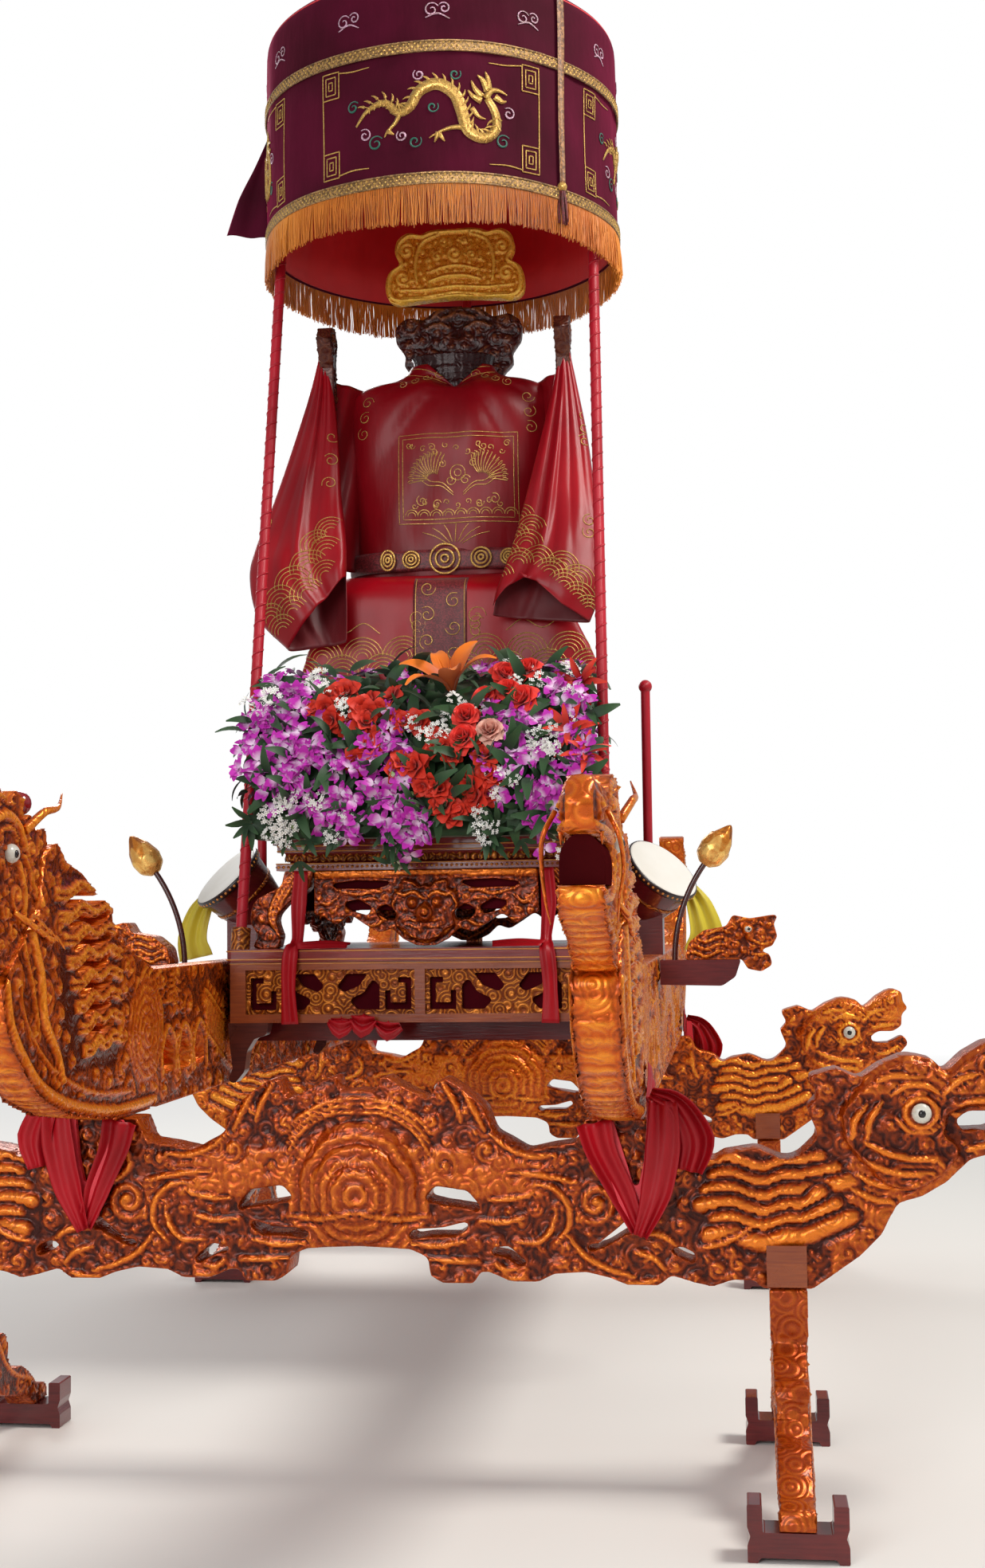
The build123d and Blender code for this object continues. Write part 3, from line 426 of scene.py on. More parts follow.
def rings(board, u, v, r, count, lobes, rise=1.0):
    """A cloud swirl: stepped rings with a lobed edge that wind round one point."""
    window = near(board, u, v, r)
    du, dv = board.u[window] - u, board.v[window] - v
    angle = np.arctan2(dv, du)
    d = np.hypot(du, dv) / r
    lobe = 0.05 * np.abs(np.sin(angle * lobes / 2)) * np.clip(d * 2, 0, 1)
    phase = (d - lobe) * count - angle / tau
    step = phase - np.floor(phase)
    inside = np.clip((1 - d) * r / 5, 0, 1)
    top = rise * (0.25 + 0.75 * step ** 1.6 * np.clip((1 - step) * 7, 0, 1))
    board.h[window] = np.where(inside > 0, top, board.h[window])
    board.taken[window] = np.maximum(board.taken[window], inside)


def scales(board, inside, size, rise=1.0, lean=0.0):
    """Overlapping scales over a masked part of a board."""
    c, s = cos(lean), sin(lean)
    a = (board.u * c + board.v * s) / size
    b = (board.v * c - board.u * s) / size
    best = np.zeros_like(a)
    for row in (0, 1):
        for dx in (0, 1):
            ca = np.floor(a + 0.5 * row) - 0.5 * row + dx
            cb = (np.floor((b + 0.5 * row)) - 0.5 * row)
            d = np.hypot((a - ca), (b - cb - 0.5) * 0.95)
            best = np.maximum(best, np.where(d < 0.62, 1 - 0.55 * d / 0.62 - 0.25 * (b - cb), 0))
    free = inside & (board.taken < 0.5)
    board.h = np.where(free, rise * np.clip(best, 0, 1), board.h)
    board.taken = np.where(free, 1.0, board.taken)


cross_board = board_of(1142, 424)
scrolls(cross_board, ((131, 279, 24, 1.8, 1), (228, 232, 27, 1.9, 1), (155, 205, 17, 1.4, -1),
    (69, 322, 20, 1.6, -1), (190, 300, 15, 1.3, 1), (420, 142, 42, 2.2, -1), (616, 208, 18, 1.5, 1),
    (588, 214, 14, 1.3, -1), (629, 30, 20, 1.6, 1), (556, 34, 17, 1.5, -1), (664, 40, 17, 1.4, -1),
    (700, 70, 16, 1.3, 1), (822, 336, 20, 1.6, 1), (838, 372, 16, 1.5, -1), (806, 300, 15, 1.3, -1),
    (868, 352, 14, 1.3, 1), (20, 84, 19, 1.6, 1), (62, 84, 18, 1.6, -1), (150, 28, 15, 1.3, 1),
    (364, 40, 16, 1.4, -1), (1092, 384, 27, 1.8, 1), (936, 372, 17, 1.4, 1), (980, 376, 16, 1.4, -1),
    (1060, 350, 15, 1.3, 1), (886, 92, 20, 1.6, 1), (850, 60, 16, 1.4, -1), (1006, 212, 15, 1.4, -1),
    (560, 200, 22, 1.6, 1), (470, 232, 18, 1.5, -1), (508, 196, 20, 1.6, 1), (360, 214, 18, 1.5, 1)))
rings(cross_board, 0, 152, 128, 6.2, 9)
for k in range(3):
    ridge(cross_board, [(0, 300 + 12 * k), (60 - 4 * k, 292 + 12 * k), (104 - 3 * k, 262 + 16 * k),
        (128, 224 + 22 * k)], 11)
for k in range(6):
    base = 208 - 25 * k
    ridge(cross_board, [(600 + 13 * (k * 2 % 3), base + 6), (652, base + 9), (684, base - 3),
        (716, base - 7), (748, base + 4), (780, base + 6), (806 + 26 * (k % 3), base + 14 + 5 * k)], 32,
        1.0, 0.0, 0.8)
ridges(cross_board, ([(242, 292), (282, 262), (330, 244), (384, 246)], [(236, 262), (268, 236), (310, 222),
    (352, 226)], [(186, 344), (206, 306), (226, 268)], [(150, 354), (172, 318), (186, 282)],
    [(352, 130), (342, 96), (318, 74), (276, 76)], [(300, 176), (344, 168), (372, 138), (372, 100),
    (344, 66)], [(262, 196), (320, 190), (386, 178)], [(372, 86), (400, 52), (440, 30), (486, 16)],
    [(486, 60), (520, 48), (540, 26)], [(492, 92), (532, 88), (560, 70)],
    [(598, 66), (640, 76), (684, 100)], [(128, 44), (176, 40), (216, 40)], [(96, 70), (140, 66), (190, 74)],
    [(216, 112), (260, 108), (300, 118)], [(232, 146), (268, 148), (310, 156)],
    [(0, 128), (40, 118), (84, 112), (128, 118)], [(250, 20), (272, 12), (300, 14)],
    [(240, 40), (258, 26), (282, 30)], [(470, 8), (500, 6), (530, 14)], [(428, 236), (418, 204), (440, 180),
    (480, 170)], [(536, 250), (540, 200), (556, 170)]), 13)
ridges(cross_board, ([(930, 330), (956, 346), (990, 344), (1016, 326)], [(938, 286), (958, 270), (986, 268),
    (1010, 280)], [(1014, 330), (1044, 356), (1076, 366)], [(1030, 296), (1060, 292), (1096, 300)],
    [(880, 250), (918, 232), (962, 222), (1008, 222)], [(872, 222), (912, 204), (956, 196), (996, 200)],
    [(864, 196), (900, 178), (940, 172), (972, 176)], [(862, 168), (896, 152), (930, 148)],
    [(886, 312), (866, 286), (862, 256)], [(912, 318), (890, 284), (888, 258)], [(1052, 236), (1084, 244),
    (1118, 264)], [(1040, 312), (1070, 320), (1112, 324)], [(900, 352), (934, 362), (974, 358)],
    [(1004, 372), (1030, 356)]), 14, 1.15)
ridge(cross_board, [(977 + 27 * cos(a), 300 + 25 * sin(a)) for a in np.linspace(0, tau, 13)], 11, 1.2,
    taper=1.0)
scales(cross_board, (cross_board.u > 820) & (cross_board.v < 214), 26, 0.9, 0.5)
scales(cross_board,
    (cross_board.u > 120) & (cross_board.u < 330) & (cross_board.v > 150) & (cross_board.v < 236), 27, 0.9,
    -0.4)
scales(cross_board, (cross_board.u > 868) & (cross_board.v > 330), 24, 1.0, 0.2)
fill(cross_board, 7, 11, 19)
# The front beam takes the gilt copy in painted shade, the rear beam the copy in painted sunlight.
for end, cell, share, finish in (("front", 0.0052, 0.46, amber_gilt), ("rear", 0.0068, 0.37, orange_gilt)):
    carved("cross_dragon_" + end, "cross_beam_" + end, cell, 1, height_of(cross_board, 0, CROSS_Z, True),
        (9.0, 2.0), share, finish)


# Lacquered joinery: bearers, rails, boards, mouldings and foot bars, planed smooth and coated
# with many thin coats, with gold rubbed on the edges.
def blend(node, share, first, second):
    """A colour between two, by a share from 0 to 1."""
    if not isinstance(first, bpy.types.NodeSocket):
        first = (*first, 1)
    return node("Mix", {"Factor": share, 6: first, 7: (*second, 1)}, 2, data_type="RGBA")


def lacquer(name, colour, second, shine=0.16):
    node, wear = new_finish(name)
    place = node("TexCoord", out="Object")
    cloud = noise_at(node, place, 7.0, 5.0)
    streak = noise_at(node, node("Mapping", {"Vector": place, "Scale": (6.0, 6.0, 90.0)}), 3.0, 3.0)
    share = node("Math", {0: cloud, 1: streak}, operation="MULTIPLY")
    return wear(Base_Color=blend(node, spread_out(node, share, 0.12, 0.4), colour, second),
        Roughness=spread_out(node, cloud, 0.3, 0.7, shine, shine + 0.16), Coat_Weight=0.22,
        Coat_Roughness=0.08, Normal=node("Bump", {"Height": streak, "Strength": 0.12, "Distance": 0.002}))


dark_red = lacquer("dark_red_lacquer", (0.085, 0.006, 0.008), (0.16, 0.012, 0.012), 0.12)
oxblood = lacquer("oxblood_lacquer", (0.15, 0.008, 0.008), (0.26, 0.02, 0.016), 0.16)
orange_red = lacquer("orange_lacquer", (0.2, 0.032, 0.007), (0.34, 0.075, 0.012), 0.2)
black_red = lacquer("dark_carved_lacquer", (0.04, 0.006, 0.006), (0.1, 0.018, 0.012), 0.2)
for node_name, finish in (("feet_front", dark_red), ("feet_rear", dark_red), ("bearers", dark_red),
        ("tier_board", oxblood), ("tier_rails", orange_red), ("tier_posts", orange_red),
        ("nailed_plates", orange_red), ("table_top", oxblood), ("throne_base", oxblood),
        ("throne_seat", oxblood), ("drum_cradles", dark_red), ("side_bars", dark_red),
        ("lotus_stems", black_red), ("tier_panels", flat_gilt), ("tier_legs", black_red),
        ("pole_sockets", flat_gilt)):
    painted(nodes[node_name].data, finish)


# Throne back, arms and crest: dark carved wood with a beast's mask at the top, with a painted
# highlight in a gold tone on its high places and painted shade in its cuts; the arms end in small dragon
# heads that hold up the sleeves.
# Its ramp runs from the dark tone in the cuts to a gold tone on the ridges: painted shade and painted
# highlight.
dark_gilt = gilt("dark_gilt", (0.024, 0.004, 0.004), (0.07, 0.013, 0.009), (0.22, 0.07, 0.025), 30.0, 0.3,
    0.15)
THRONE_Z = 1540
back_board = board_of(260, 1040, (0, 0))
scrolls(back_board, ((120, 962, 34, 1.9, 1), (150, 1000, 18, 1.5, -1), (128, 912, 18, 1.5, 1),
    (96, 1004, 18, 1.5, 1), (30, 920, 16, 1.3, 1), (96, 880, 16, 1.4, -1)))
ridges(back_board, ([(0, 1010), (40, 1000), (70, 976)], [(0, 985), (34, 978), (58, 958)],
    [(0, 866), (40, 874), (76, 900)], [(0, 846), (48, 852), (92, 876)], [(0, 830), (50, 832), (100, 846)],
    [(20, 950), (50, 962), (84, 950)], [(0, 800), (60, 804), (106, 812)],
    [(0, 780), (60, 782), (108, 788)]), 12, 1.1)
scroll(back_board, 50, 940, 15, 1.0, 1)
fill(back_board, 11, 14, 24, 0.8)
carved("carved_back", "throne_back", 0.0058, 1, height_of(back_board, 0, THRONE_Z, True), (7.0, 3.0), 0.45,
    dark_gilt, "dark_lacquer")
arm_board = board_of(300, 930, (-60, 0))
scrolls(arm_board, ((10, 856, 26, 1.8, 1), (-10, 880, 12, 1.2, -1), (40, 770, 16, 1.4, 1),
    (34, 720, 16, 1.4, -1), (90, 622, 24, 1.7, 1), (150, 632, 20, 1.5, -1)))
scales(arm_board, arm_board.v < 560, 18, 0.9)
fill(arm_board, 12, 9, 14)
carved("dragon_arms", "throne_arms", 0.0042, 0, height_of(arm_board, 1, THRONE_Z), (5.0, 1.5), 0.4,
    dark_gilt)


# Robe: a red satin coat with dark lining, dressed over the throne back.  Its body hangs from the
# shoulders to the belt, the skirt falls over the seat, and each sleeve is hooked over an arm's
# dragon head.
def cloth_finish(name, colour, second, rough=0.4, weave=900.0, sheen=0.3, bump=0.15, wrinkle=0.3, gloss=0.5,
        sheen_tint=(1, 1, 1), metal=0.0, painted_glint_scale=0.0):
    node, wear = new_finish(name)
    place = node("TexCoord", out="Object")
    tone = blend(node, spread_out(node, noise_at(node, place, 5.0, 4.0), 0.32, 0.68), colour, second)
    # Painted glints: random small cells of the base colour are lightened toward a brighter tone.
    if painted_glint_scale:
        glint_cells = node("TexVoronoi", {"Vector": place, 2: painted_glint_scale}, "Color")
        some = spread_out(node, node("SeparateColor", {0: glint_cells}), 0.25, 0.95)
        tone = blend(node, some, tone, (min(1, second[0] * 2.1), min(1, second[1] * 2.1), second[2] * 2.2))
    threads = node("TexWave", {"Vector": place, 1: weave / 4, 2: 1.0}, "Fac", bands_direction="DIAGONAL")
    crease = noise_at(node, node("Mapping", {"Vector": place, "Scale": (22.0, 12.0, 5.0)}), 1.0, 3.0)
    height = node("Math", {0: crease, 1: wrinkle * 12}, operation="MULTIPLY")
    both = node("Math", {0: threads, 1: bump, 2: height}, operation="MULTIPLY_ADD")
    return wear(Base_Color=tone, Roughness=rough, Metallic=metal, Specular_IOR_Level=gloss,
        Sheen_Weight=sheen, Sheen_Roughness=0.4, Sheen_Tint=(*sheen_tint, 1),
        Normal=node("Bump", {"Height": both, "Strength": 0.6, "Distance": 0.0012}))


red_satin = cloth_finish("red_satin", (0.24, 0.001, 0.006), (0.38, 0.002, 0.009), 0.34, 1400, 0.0, 0.06,
    0.15, 0.32)
sleeve_lining = cloth_finish("sleeve_lining", (0.1, 0.003, 0.006), (0.18, 0.006, 0.01), 0.5, 900, 0.1)
gold_thread = cloth_finish("gold_thread", (0.42, 0.19, 0.035), (0.62, 0.32, 0.07), 0.38, 2400, 0.1, 0.6,
    0.1, 0.7, metal=0.45, painted_glint_scale=700.0)


def facing_out(mesh, weld=0.0):
    """Turns all faces outward, welds corners if asked, and measures the area."""
    shape = bmesh.new()
    shape.from_mesh(mesh)
    if weld:
        bmesh.ops.remove_doubles(shape, verts=shape.verts, dist=weld)
    bmesh.ops.recalc_face_normals(shape, faces=shape.faces)
    area = sum(f.calc_area() for f in shape.faces)
    shape.to_mesh(mesh)
    shape.free()
    return area


def cloth(name, grid, finish, slot, sheet=None, stands_for=(), closed=False, thick=1.4):
    """A sheet through rows of points in millimetres; closed rows make a tube.  Its flat width, how it is
    held and what it rests on are not used."""
    grid = np.array(grid, float)
    m, n = grid.shape[:2]
    faces = [(i * n + j, i * n + (j + 1) % n, (i + 1) * n + (j + 1) % n, (i + 1) * n + j)
        for i in range(m - 1) for j in range(n if closed else n - 1)]
    piece = made(name, grid.reshape(-1, 3) / 1000, faces)
    area = facing_out(piece.data, 1e-6)
    wall = piece.modifiers.new("cloth", "SOLIDIFY")
    wall.thickness, wall.offset = thick / 1000, 0
    finished(piece, finish, slot, stands_for)
    if sheet:
        wide, held, rests_on = sheet
        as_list(rests_on)
    return piece


def boxed(share, power):
    """A sine or cosine pushed outward, which turns a round section into a boxy one."""
    return copysign(abs(share) ** power, share)


def soft_table(rows, count):
    """A table made finer along a soft curve, evenly in its rows."""
    rows = np.array(rows, float)
    places = np.linspace(0, len(rows) - 1 - 1e-9, count)
    return np.array([soft_place(rows, int(s), s - int(s)) for s in places])


dark_ground = cloth_finish("dark_ground", (0.045, 0.003, 0.006), (0.08, 0.005, 0.01), 0.8, 300, 0.0, 0.05,
    0.1, 0.0)
for node_name in ("tier_linings", "apron_backs"):
    painted(nodes[node_name].data, dark_ground)
# The same red satin darkened as painted shade, for the body of the coat and the arm side of the sleeves.
coat_satin = cloth_finish("coat_satin", (0.15, 0.001, 0.004), (0.25, 0.002, 0.007), 0.36, 1400, 0.0, 0.06,
    0.3, 0.3)
# Robe sections: z, half width left, half width right, front y, back y.
BODY = [(1800, 244, 250, 32, 246), (1840, 240, 246, 30, 248), (1900, 238, 242, 26, 250),
    (2000, 240, 244, 18, 250), (2100, 246, 248, 14, 248), (2180, 250, 250, 18, 246),
    (2240, 250, 250, 30, 240), (2278, 244, 244, 44, 234), (2300, 210, 212, 60, 228),
    (2312, 158, 160, 76, 222), (2330, 118, 120, 88, 216), (2352, 102, 104, 96, 210),]
rows = soft_table(BODY, 64)
body_grid = []
for z, left, right_w, y0, y1 in rows:
    ring = []
    for k in range(116):
        a = tau * k / 116
        c, s = cos(a), sin(a)
        x = (right_w if c > 0 else left) * boxed(c, 0.72)
        y = (y0 + y1) / 2 - (y1 - y0) / 2 * boxed(s, 0.72)
        if s > 0:
            fan = atan2(x - 30, 2350 - z)
            reach = hypot(x - 30, 2350 - z)
            y += 15 * (0.5 - abs(sin(5.5 * fan + 0.5))) * exp(-((reach - 170) / 130) ** 2) * s
            y += 5 * sin(x / 26 + z / 70) * max(0, (2050 - z) / 250) * s
            y += 4 * sin(x / 37 - z / 45 + 1.3) * s
        dip = 62 * max(0, 1 - abs(x - 14) / 66) * max(0, (z - 2276) / 76) * (s > 0)
        ring.append((x, y, z + 3 * sin(a * 9) * (z < 1815) - dip))
    body_grid.append(ring)
robe_body = cloth("robe_coat", body_grid, coat_satin, "red_satin", (1.0, "draped", ["carved_back"]),
    ["robe_body"], True)
SKIRT = [(1812, 246, 250, 18, 34), (1796, 256, 254, -16, 20), (1776, 268, 266, -40, 10),
    (1750, 286, 288, -50, 8), (1690, 306, 312, -54, 8), (1620, 330, 346, -58, 8), (1570, 346, 366, -60, 8),
    (1542, 354, 376, -62, 8),]
rows = soft_table(SKIRT, 44)
skirt_grid = []
for z, left, right_w, y0, y1 in rows:
    ring = []
    flare = max(0.0, (1800 - z) / 250)
    for k in range(150):
        a = tau * k / 150
        c, s = cos(a), sin(a)
        x = (right_w if c > 0 else left) * boxed(c, 0.55)
        y = (y0 + y1) / 2 - (y1 - y0) / 2 * boxed(s, 0.5)
        if s > 0:
            y += flare * (5 * sin(x / 24 + 0.6) + 4 * sin(x / 55 - 1)) * s + 4 * flare * s
            y += 5 * sin(z / 13 + x / 60) * exp(-((z - 1792) / 26) ** 2) * s
            y = max(y, -66)
        ring.append((x, y, z + 4 * sin(x / 40) * (z < 1560)))
    skirt_grid.append(ring)
robe_skirt = cloth("robe_lap", skirt_grid, red_satin, "red_satin", (1.4, "draped", ["throne_seat"]),
    ["robe_skirt"], True)


# Sleeve sections: outer x, outer z, inner x, inner z, inner z of the back, middle y, half depth.
SLEEVE_LEFT = [(-309, 2366, -290, 2366, 2366, 26, 6), (-330, 2270, -272, 2262, 2262, 14, 16),
    (-366, 2140, -256, 2130, 2130, -6, 28), (-410, 1990, -246, 2010, 1990, -34, 38),
    (-446, 1880, -232, 1930, 1880, -62, 44), (-456, 1800, -224, 1880, 1790, -86, 46),
    (-430, 1700, -219, 1832, 1700, -104, 44), (-356, 1622, -218, 1792, 1640, -114, 38)]
SLEEVE_RIGHT = [(300, 2360, 280, 2360, 2360, 26, 6), (322, 2250, 262, 2250, 2250, 12, 16),
    (346, 2120, 232, 2120, 2110, -8, 28), (362, 1990, 202, 1990, 1970, -36, 36),
    (374, 1890, 176, 1880, 1860, -64, 42), (378, 1800, 152, 1800, 1780, -88, 44),
    (370, 1720, 136, 1750, 1730, -104, 42), (352, 1668, 128, 1712, 1690, -112, 36)]
OPENING_LEFT = [(0.0, 0.0), (1.0, 0.0)]
OPENING_RIGHT = [(0.0, 0.0), (0.28, 0.22), (0.55, 0.62), (0.7, 0.7), (0.85, 0.4), (1.0, 0.0)]


def sleeve_sheets(name, table, opening, sign):
    """Front, back, arm and lining of a sleeve; the front comes back."""
    rows = soft_table(table, 66)
    lift = np.array(opening)
    front, back, lining = [], [], []
    for i, (xo, zo, xi, zi, zb, y, d) in enumerate(rows):
        t = i / 65
        front_row, back_row, lining_row = [], [], []
        for j in range(51):
            s = j / 50
            round_y = sqrt(max(0, 1 - (2 * s - 1) ** 2))
            ridge_at = 0.52 + 0.1 * t + 0.05 * sign
            pleat = -0.55 * exp(-((s - ridge_at) / 0.055) ** 2)
            pleat += 0.35 * exp(-((s - ridge_at - 0.13) / 0.07) ** 2)
            pleat += 0.3 * sin(tau * (1.4 * s + 0.1 + 0.25 * t)) * t
            pleat += 0.55 * (0.5 - abs(sin(pi * (5.0 * s + 0.8 * t)))) * exp(-2.2 * t)
            pleat += 0.9 * t * noise.noise(Vector((3.2 * s + sign, 4.5 * t, 1.7 + sign)))
            pleat *= d * 0.5 * round_y ** 0.5
            rise = np.interp(s, lift[:, 0], lift[:, 1]) * 120 * t ** 6
            x = xo + (xi - xo) * s
            front_row.append((x, y - d * round_y ** 0.8 + pleat, zo + (zi - zo) * s + rise))
            z = zo + (zb - zo) * s
            back_row.append((x, y + d * 0.9 * round_y ** 0.8 + 0.5 * pleat, z))
            lining_row.append((x, y + d * 0.78 * round_y ** 0.8 + 0.5 * pleat - 2, z + 1))
        front.append(front_row)
        back.append(back_row)
        lining.append(lining_row)
    arm = []
    for z in np.linspace(2294, 1836, 44):
        t = (2294 - z) / 458
        arm.append([(sign * (204 + 100 * q / 15), 118 - 70 * t * (1 - t) - (100 + 40 * t) * q / 15
            + 9 * sin(2.6 * q / 3 + z / 46) * sin(pi * q / 15), z + 14 * (q / 15) * (1 - t))
            for q in range(16)])
    parts = (("_front", front, red_satin, 0.24, [name]), ("_back", back, red_satin, 0.24, ()),
        ("_arm", arm, coat_satin, 0.13, ()), ("_lining", lining[29:], sleeve_lining, 0.2, ()))
    sheets = [cloth(name + part, grid, finish, "red_satin", (wide, "hung", ["dragon_arms"]), stands_for)
        for part, grid, finish, wide, stands_for in parts]
    return sheets[0]


left_sleeve = sleeve_sheets("sleeve_left", SLEEVE_LEFT, OPENING_LEFT, -1)
right_sleeve = sleeve_sheets("sleeve_right", SLEEVE_RIGHT, OPENING_RIGHT, 1)
neck_rows = []
for k in range(24):
    z = 2236 + 6.4 * k
    grow = 1 + 0.05 * (k % 6 == 5) + 0.08 * max(0, (z - 2340) / 50)
    neck_rows.append([(92 * grow * cos(a) * (1 + 0.01 * cos(26 * a)),
        164 - 54 * grow * sin(a) * (1 + 0.012 * cos(26 * a)), z) for a in np.arange(104) * tau / 104])
cloth("throne_neck", neck_rows, dark_gilt, "dark_lacquer", closed=True, thick=3)


# Embroidery: gold thread laid on the satin in fans of waves at the hems, a worked square on the
# chest and cloud curls on the collar.  Each thread is drawn in front view and laid on the cloth.
THREAD_LIFT = 1.6


def unit_rows(rows):
    return rows / np.maximum(np.linalg.norm(rows, axis=1, keepdims=True), 1e-9)


def between(share, values):
    """Values or rows of a short table, read at shares from 0 to 1."""
    values = np.array(values, float)
    at = np.linspace(0, 1, len(values))
    if values.ndim == 1:
        return np.interp(share, at, values)
    return np.stack([np.interp(share, at, values[:, k]) for k in range(values.shape[1])], 1)


def line_frame(line, outs, share):
    """Across and outward directions along a line, by one or more outward directions."""
    outs = np.array(outs, float)
    out = between(share, outs) if outs.ndim == 2 else outs
    along = unit_rows(np.gradient(line, axis=0))
    across = unit_rows(np.cross(along, out))
    return across, np.cross(across, along)


def strands(name, rows, finish, slot, sides=6, step=8.0):
    """Each row: points in millimetres, widths along it, thickness share, outward direction."""
    verts, faces = [], []
    for points, wide, thick, out in rows:
        line = smooth_line(points, step) if len(points) < 40 else np.array(points, float)
        n = len(line)
        share = np.linspace(0, 1, n)
        w = between(share, wide) / 2
        across, lift = line_frame(line, out, share)
        first = len(verts)
        for k in range(n):
            for q in range(sides):
                a = tau * q / sides
                verts.append((line[k] + across[k] * cos(a) * w[k] + lift[k] * sin(a) * w[k] * thick) / 1000)
        for k in range(n - 1):
            for q in range(sides):
                a, b = first + k * sides + q, first + k * sides + (q + 1) % sides
                faces.append((a, b, b + sides, a + sides))
        faces.append(tuple(first + q for q in reversed(range(sides))))
        faces.append(tuple(first + (n - 1) * sides + q for q in range(sides)))
    piece = made(name, verts, faces)
    # The outward half of each strand is marked higher, which a gilt finish shows as a painted highlight on
    # that side.
    marked(piece.data, "cut", [0.35 + 0.45 * max(0, sin(tau * (k % sides) / sides))
        for k in range(len(verts))])
    facing_out(piece.data)
    return finished(piece, finish, slot)


def tree_of(piece):
    gathered = bmesh.new()
    gathered.from_mesh(piece.data)
    found = BVHTree.FromBMesh(gathered)
    gathered.free()
    return found


def cast(tree, start, way):
    """Where a ray from a place in millimetres meets a piece, and the normal there."""
    return tree.ray_cast(Vector([v / 1000 for v in start]), Vector(way))[:2]


def laid(tree, line):
    """Points of a front view line put on the cloth, split where it leaves the cloth."""
    runs, run = [], []
    for x, z in smooth_line(line, 8.5):
        hit, normal = cast(tree, (x, -600, z), (0, 1, 0))
        if hit is None or (run and abs(hit.y * 1000 - run[-1][0][1]) > 26):
            if len(run) > 2:
                runs.append(run)
            run = []
            if hit is None:
                continue
        normal = normal if normal.y < 0 else -normal
        run.append((np.array(hit + normal * THREAD_LIFT / 1000) * 1000, np.array(normal)))
    if len(run) > 2:
        runs.append(run)
    return runs


def arc(x, z, r, a0, a1, count=9):
    return [(x + r * cos(radians(a0 + (a1 - a0) * k / (count - 1))),
        z + r * sin(radians(a0 + (a1 - a0) * k / (count - 1)))) for k in range(count)]


def curl(x, z, r, a0, turn=1, turns=1.3, count=14):
    return [(x + r * (1 - 0.8 * k / (count - 1)) * cos(a0 + turn * turns * tau * k / (count - 1)),
        z + r * (1 - 0.8 * k / (count - 1)) * sin(a0 + turn * turns * tau * k / (count - 1)))
        for k in range(count)]


def thread_rows(tree, lines, width=3.4):
    rows = []
    for line in lines:
        for run in laid(tree, line):
            rows.append(([p for p, _ in run], (width * 0.7, width, width * 0.7), 0.5, [n for _, n in run]))
    return rows


def square(x0, x1, z0, z1):
    """The four sides of a box."""
    corners = [(x0, z0), (x1, z0), (x1, z1), (x0, z1)]
    return [[a, b] for a, b in zip(corners, corners[1:] + corners[:1])]


lap_lines = [arc(x, z, r, 6, 174, 13) for z, off in ((1566, 0), (1606, 49)) for x in range(-340 + off, 372,
    98) if z < 1606 or abs(x) >= 80 for r in (50, 41, 32, 23, 14)]
for sign in (-1, 1):
    lap_lines += [curl(sign * 70 + 10, 1700 - 18 * k, 24 - 4 * k, 0.6 * k, sign) for k in range(3)]
    lap_lines += [[(sign * 150, 1664), (sign * 190, 1690), (sign * 236, 1668), (sign * 280, 1694)]]
for z in (1548, 1544):
    lap_lines.append([(-340, z), (-170, z - 2), (10, z), (190, z - 2), (360, z)])
lap_tree = tree_of(robe_skirt)
rows = thread_rows(lap_tree, lap_lines)
left_lines, right_lines = [], []
for x, z, r, tilt in ((-262, 1846, 44, 60), (-300, 1812, 46, 50), (-262, 1790, 40, 66),
        (-334, 1770, 46, 48), (-300, 1744, 42, 56), (-366, 1726, 44, 46), (-334, 1700, 42, 50),
        (-392, 1690, 40, 46), (-362, 1662, 40, 50), (-256, 1900, 40, 70), (-288, 1870, 38, 62)):
    for share in (1, 0.78, 0.56, 0.34):
        left_lines.append(arc(x, z, r * share, tilt - 10, tilt + 150))
for x, z, r, tilt in ((186, 1920, 40, 20), (172, 1872, 42, 10), (206, 1850, 42, 4), (152, 1826, 42, 12),
        (188, 1806, 40, 0), (140, 1776, 40, 12), (232, 1806, 42, -10), (262, 1774, 42, -16),
        (296, 1744, 42, -20), (326, 1716, 40, -24), (350, 1690, 36, -28), (290, 1790, 40, -16),
        (326, 1758, 40, -22), (216, 1890, 38, 6)):
    for share in (1, 0.78, 0.56, 0.34):
        right_lines.append(arc(x, z, r * share, tilt, tilt + 160))
left_lines += [curl(-430 + 6 * k, 1990 - 26 * k, 20, 0.5 + k, 1) for k in range(3)]
left_lines += [curl(-270, 2150 - 60 * k, 18, 1.5 + k, -1) for k in range(3)]
right_lines += [curl(340, 2180 - 34 * k, 18, 0.5 + k, -1) for k in range(3)]
right_lines += [curl(352, 1910 - 30 * k, 16, 1.5 + k, 1) for k in range(2)]
rows += thread_rows(tree_of(left_sleeve), left_lines)
rows += thread_rows(tree_of(right_sleeve), right_lines)
chest = []
for grow in (0, 10):
    chest += square(-104 - grow, 164 + grow, 1950 - grow, 2146 + grow)
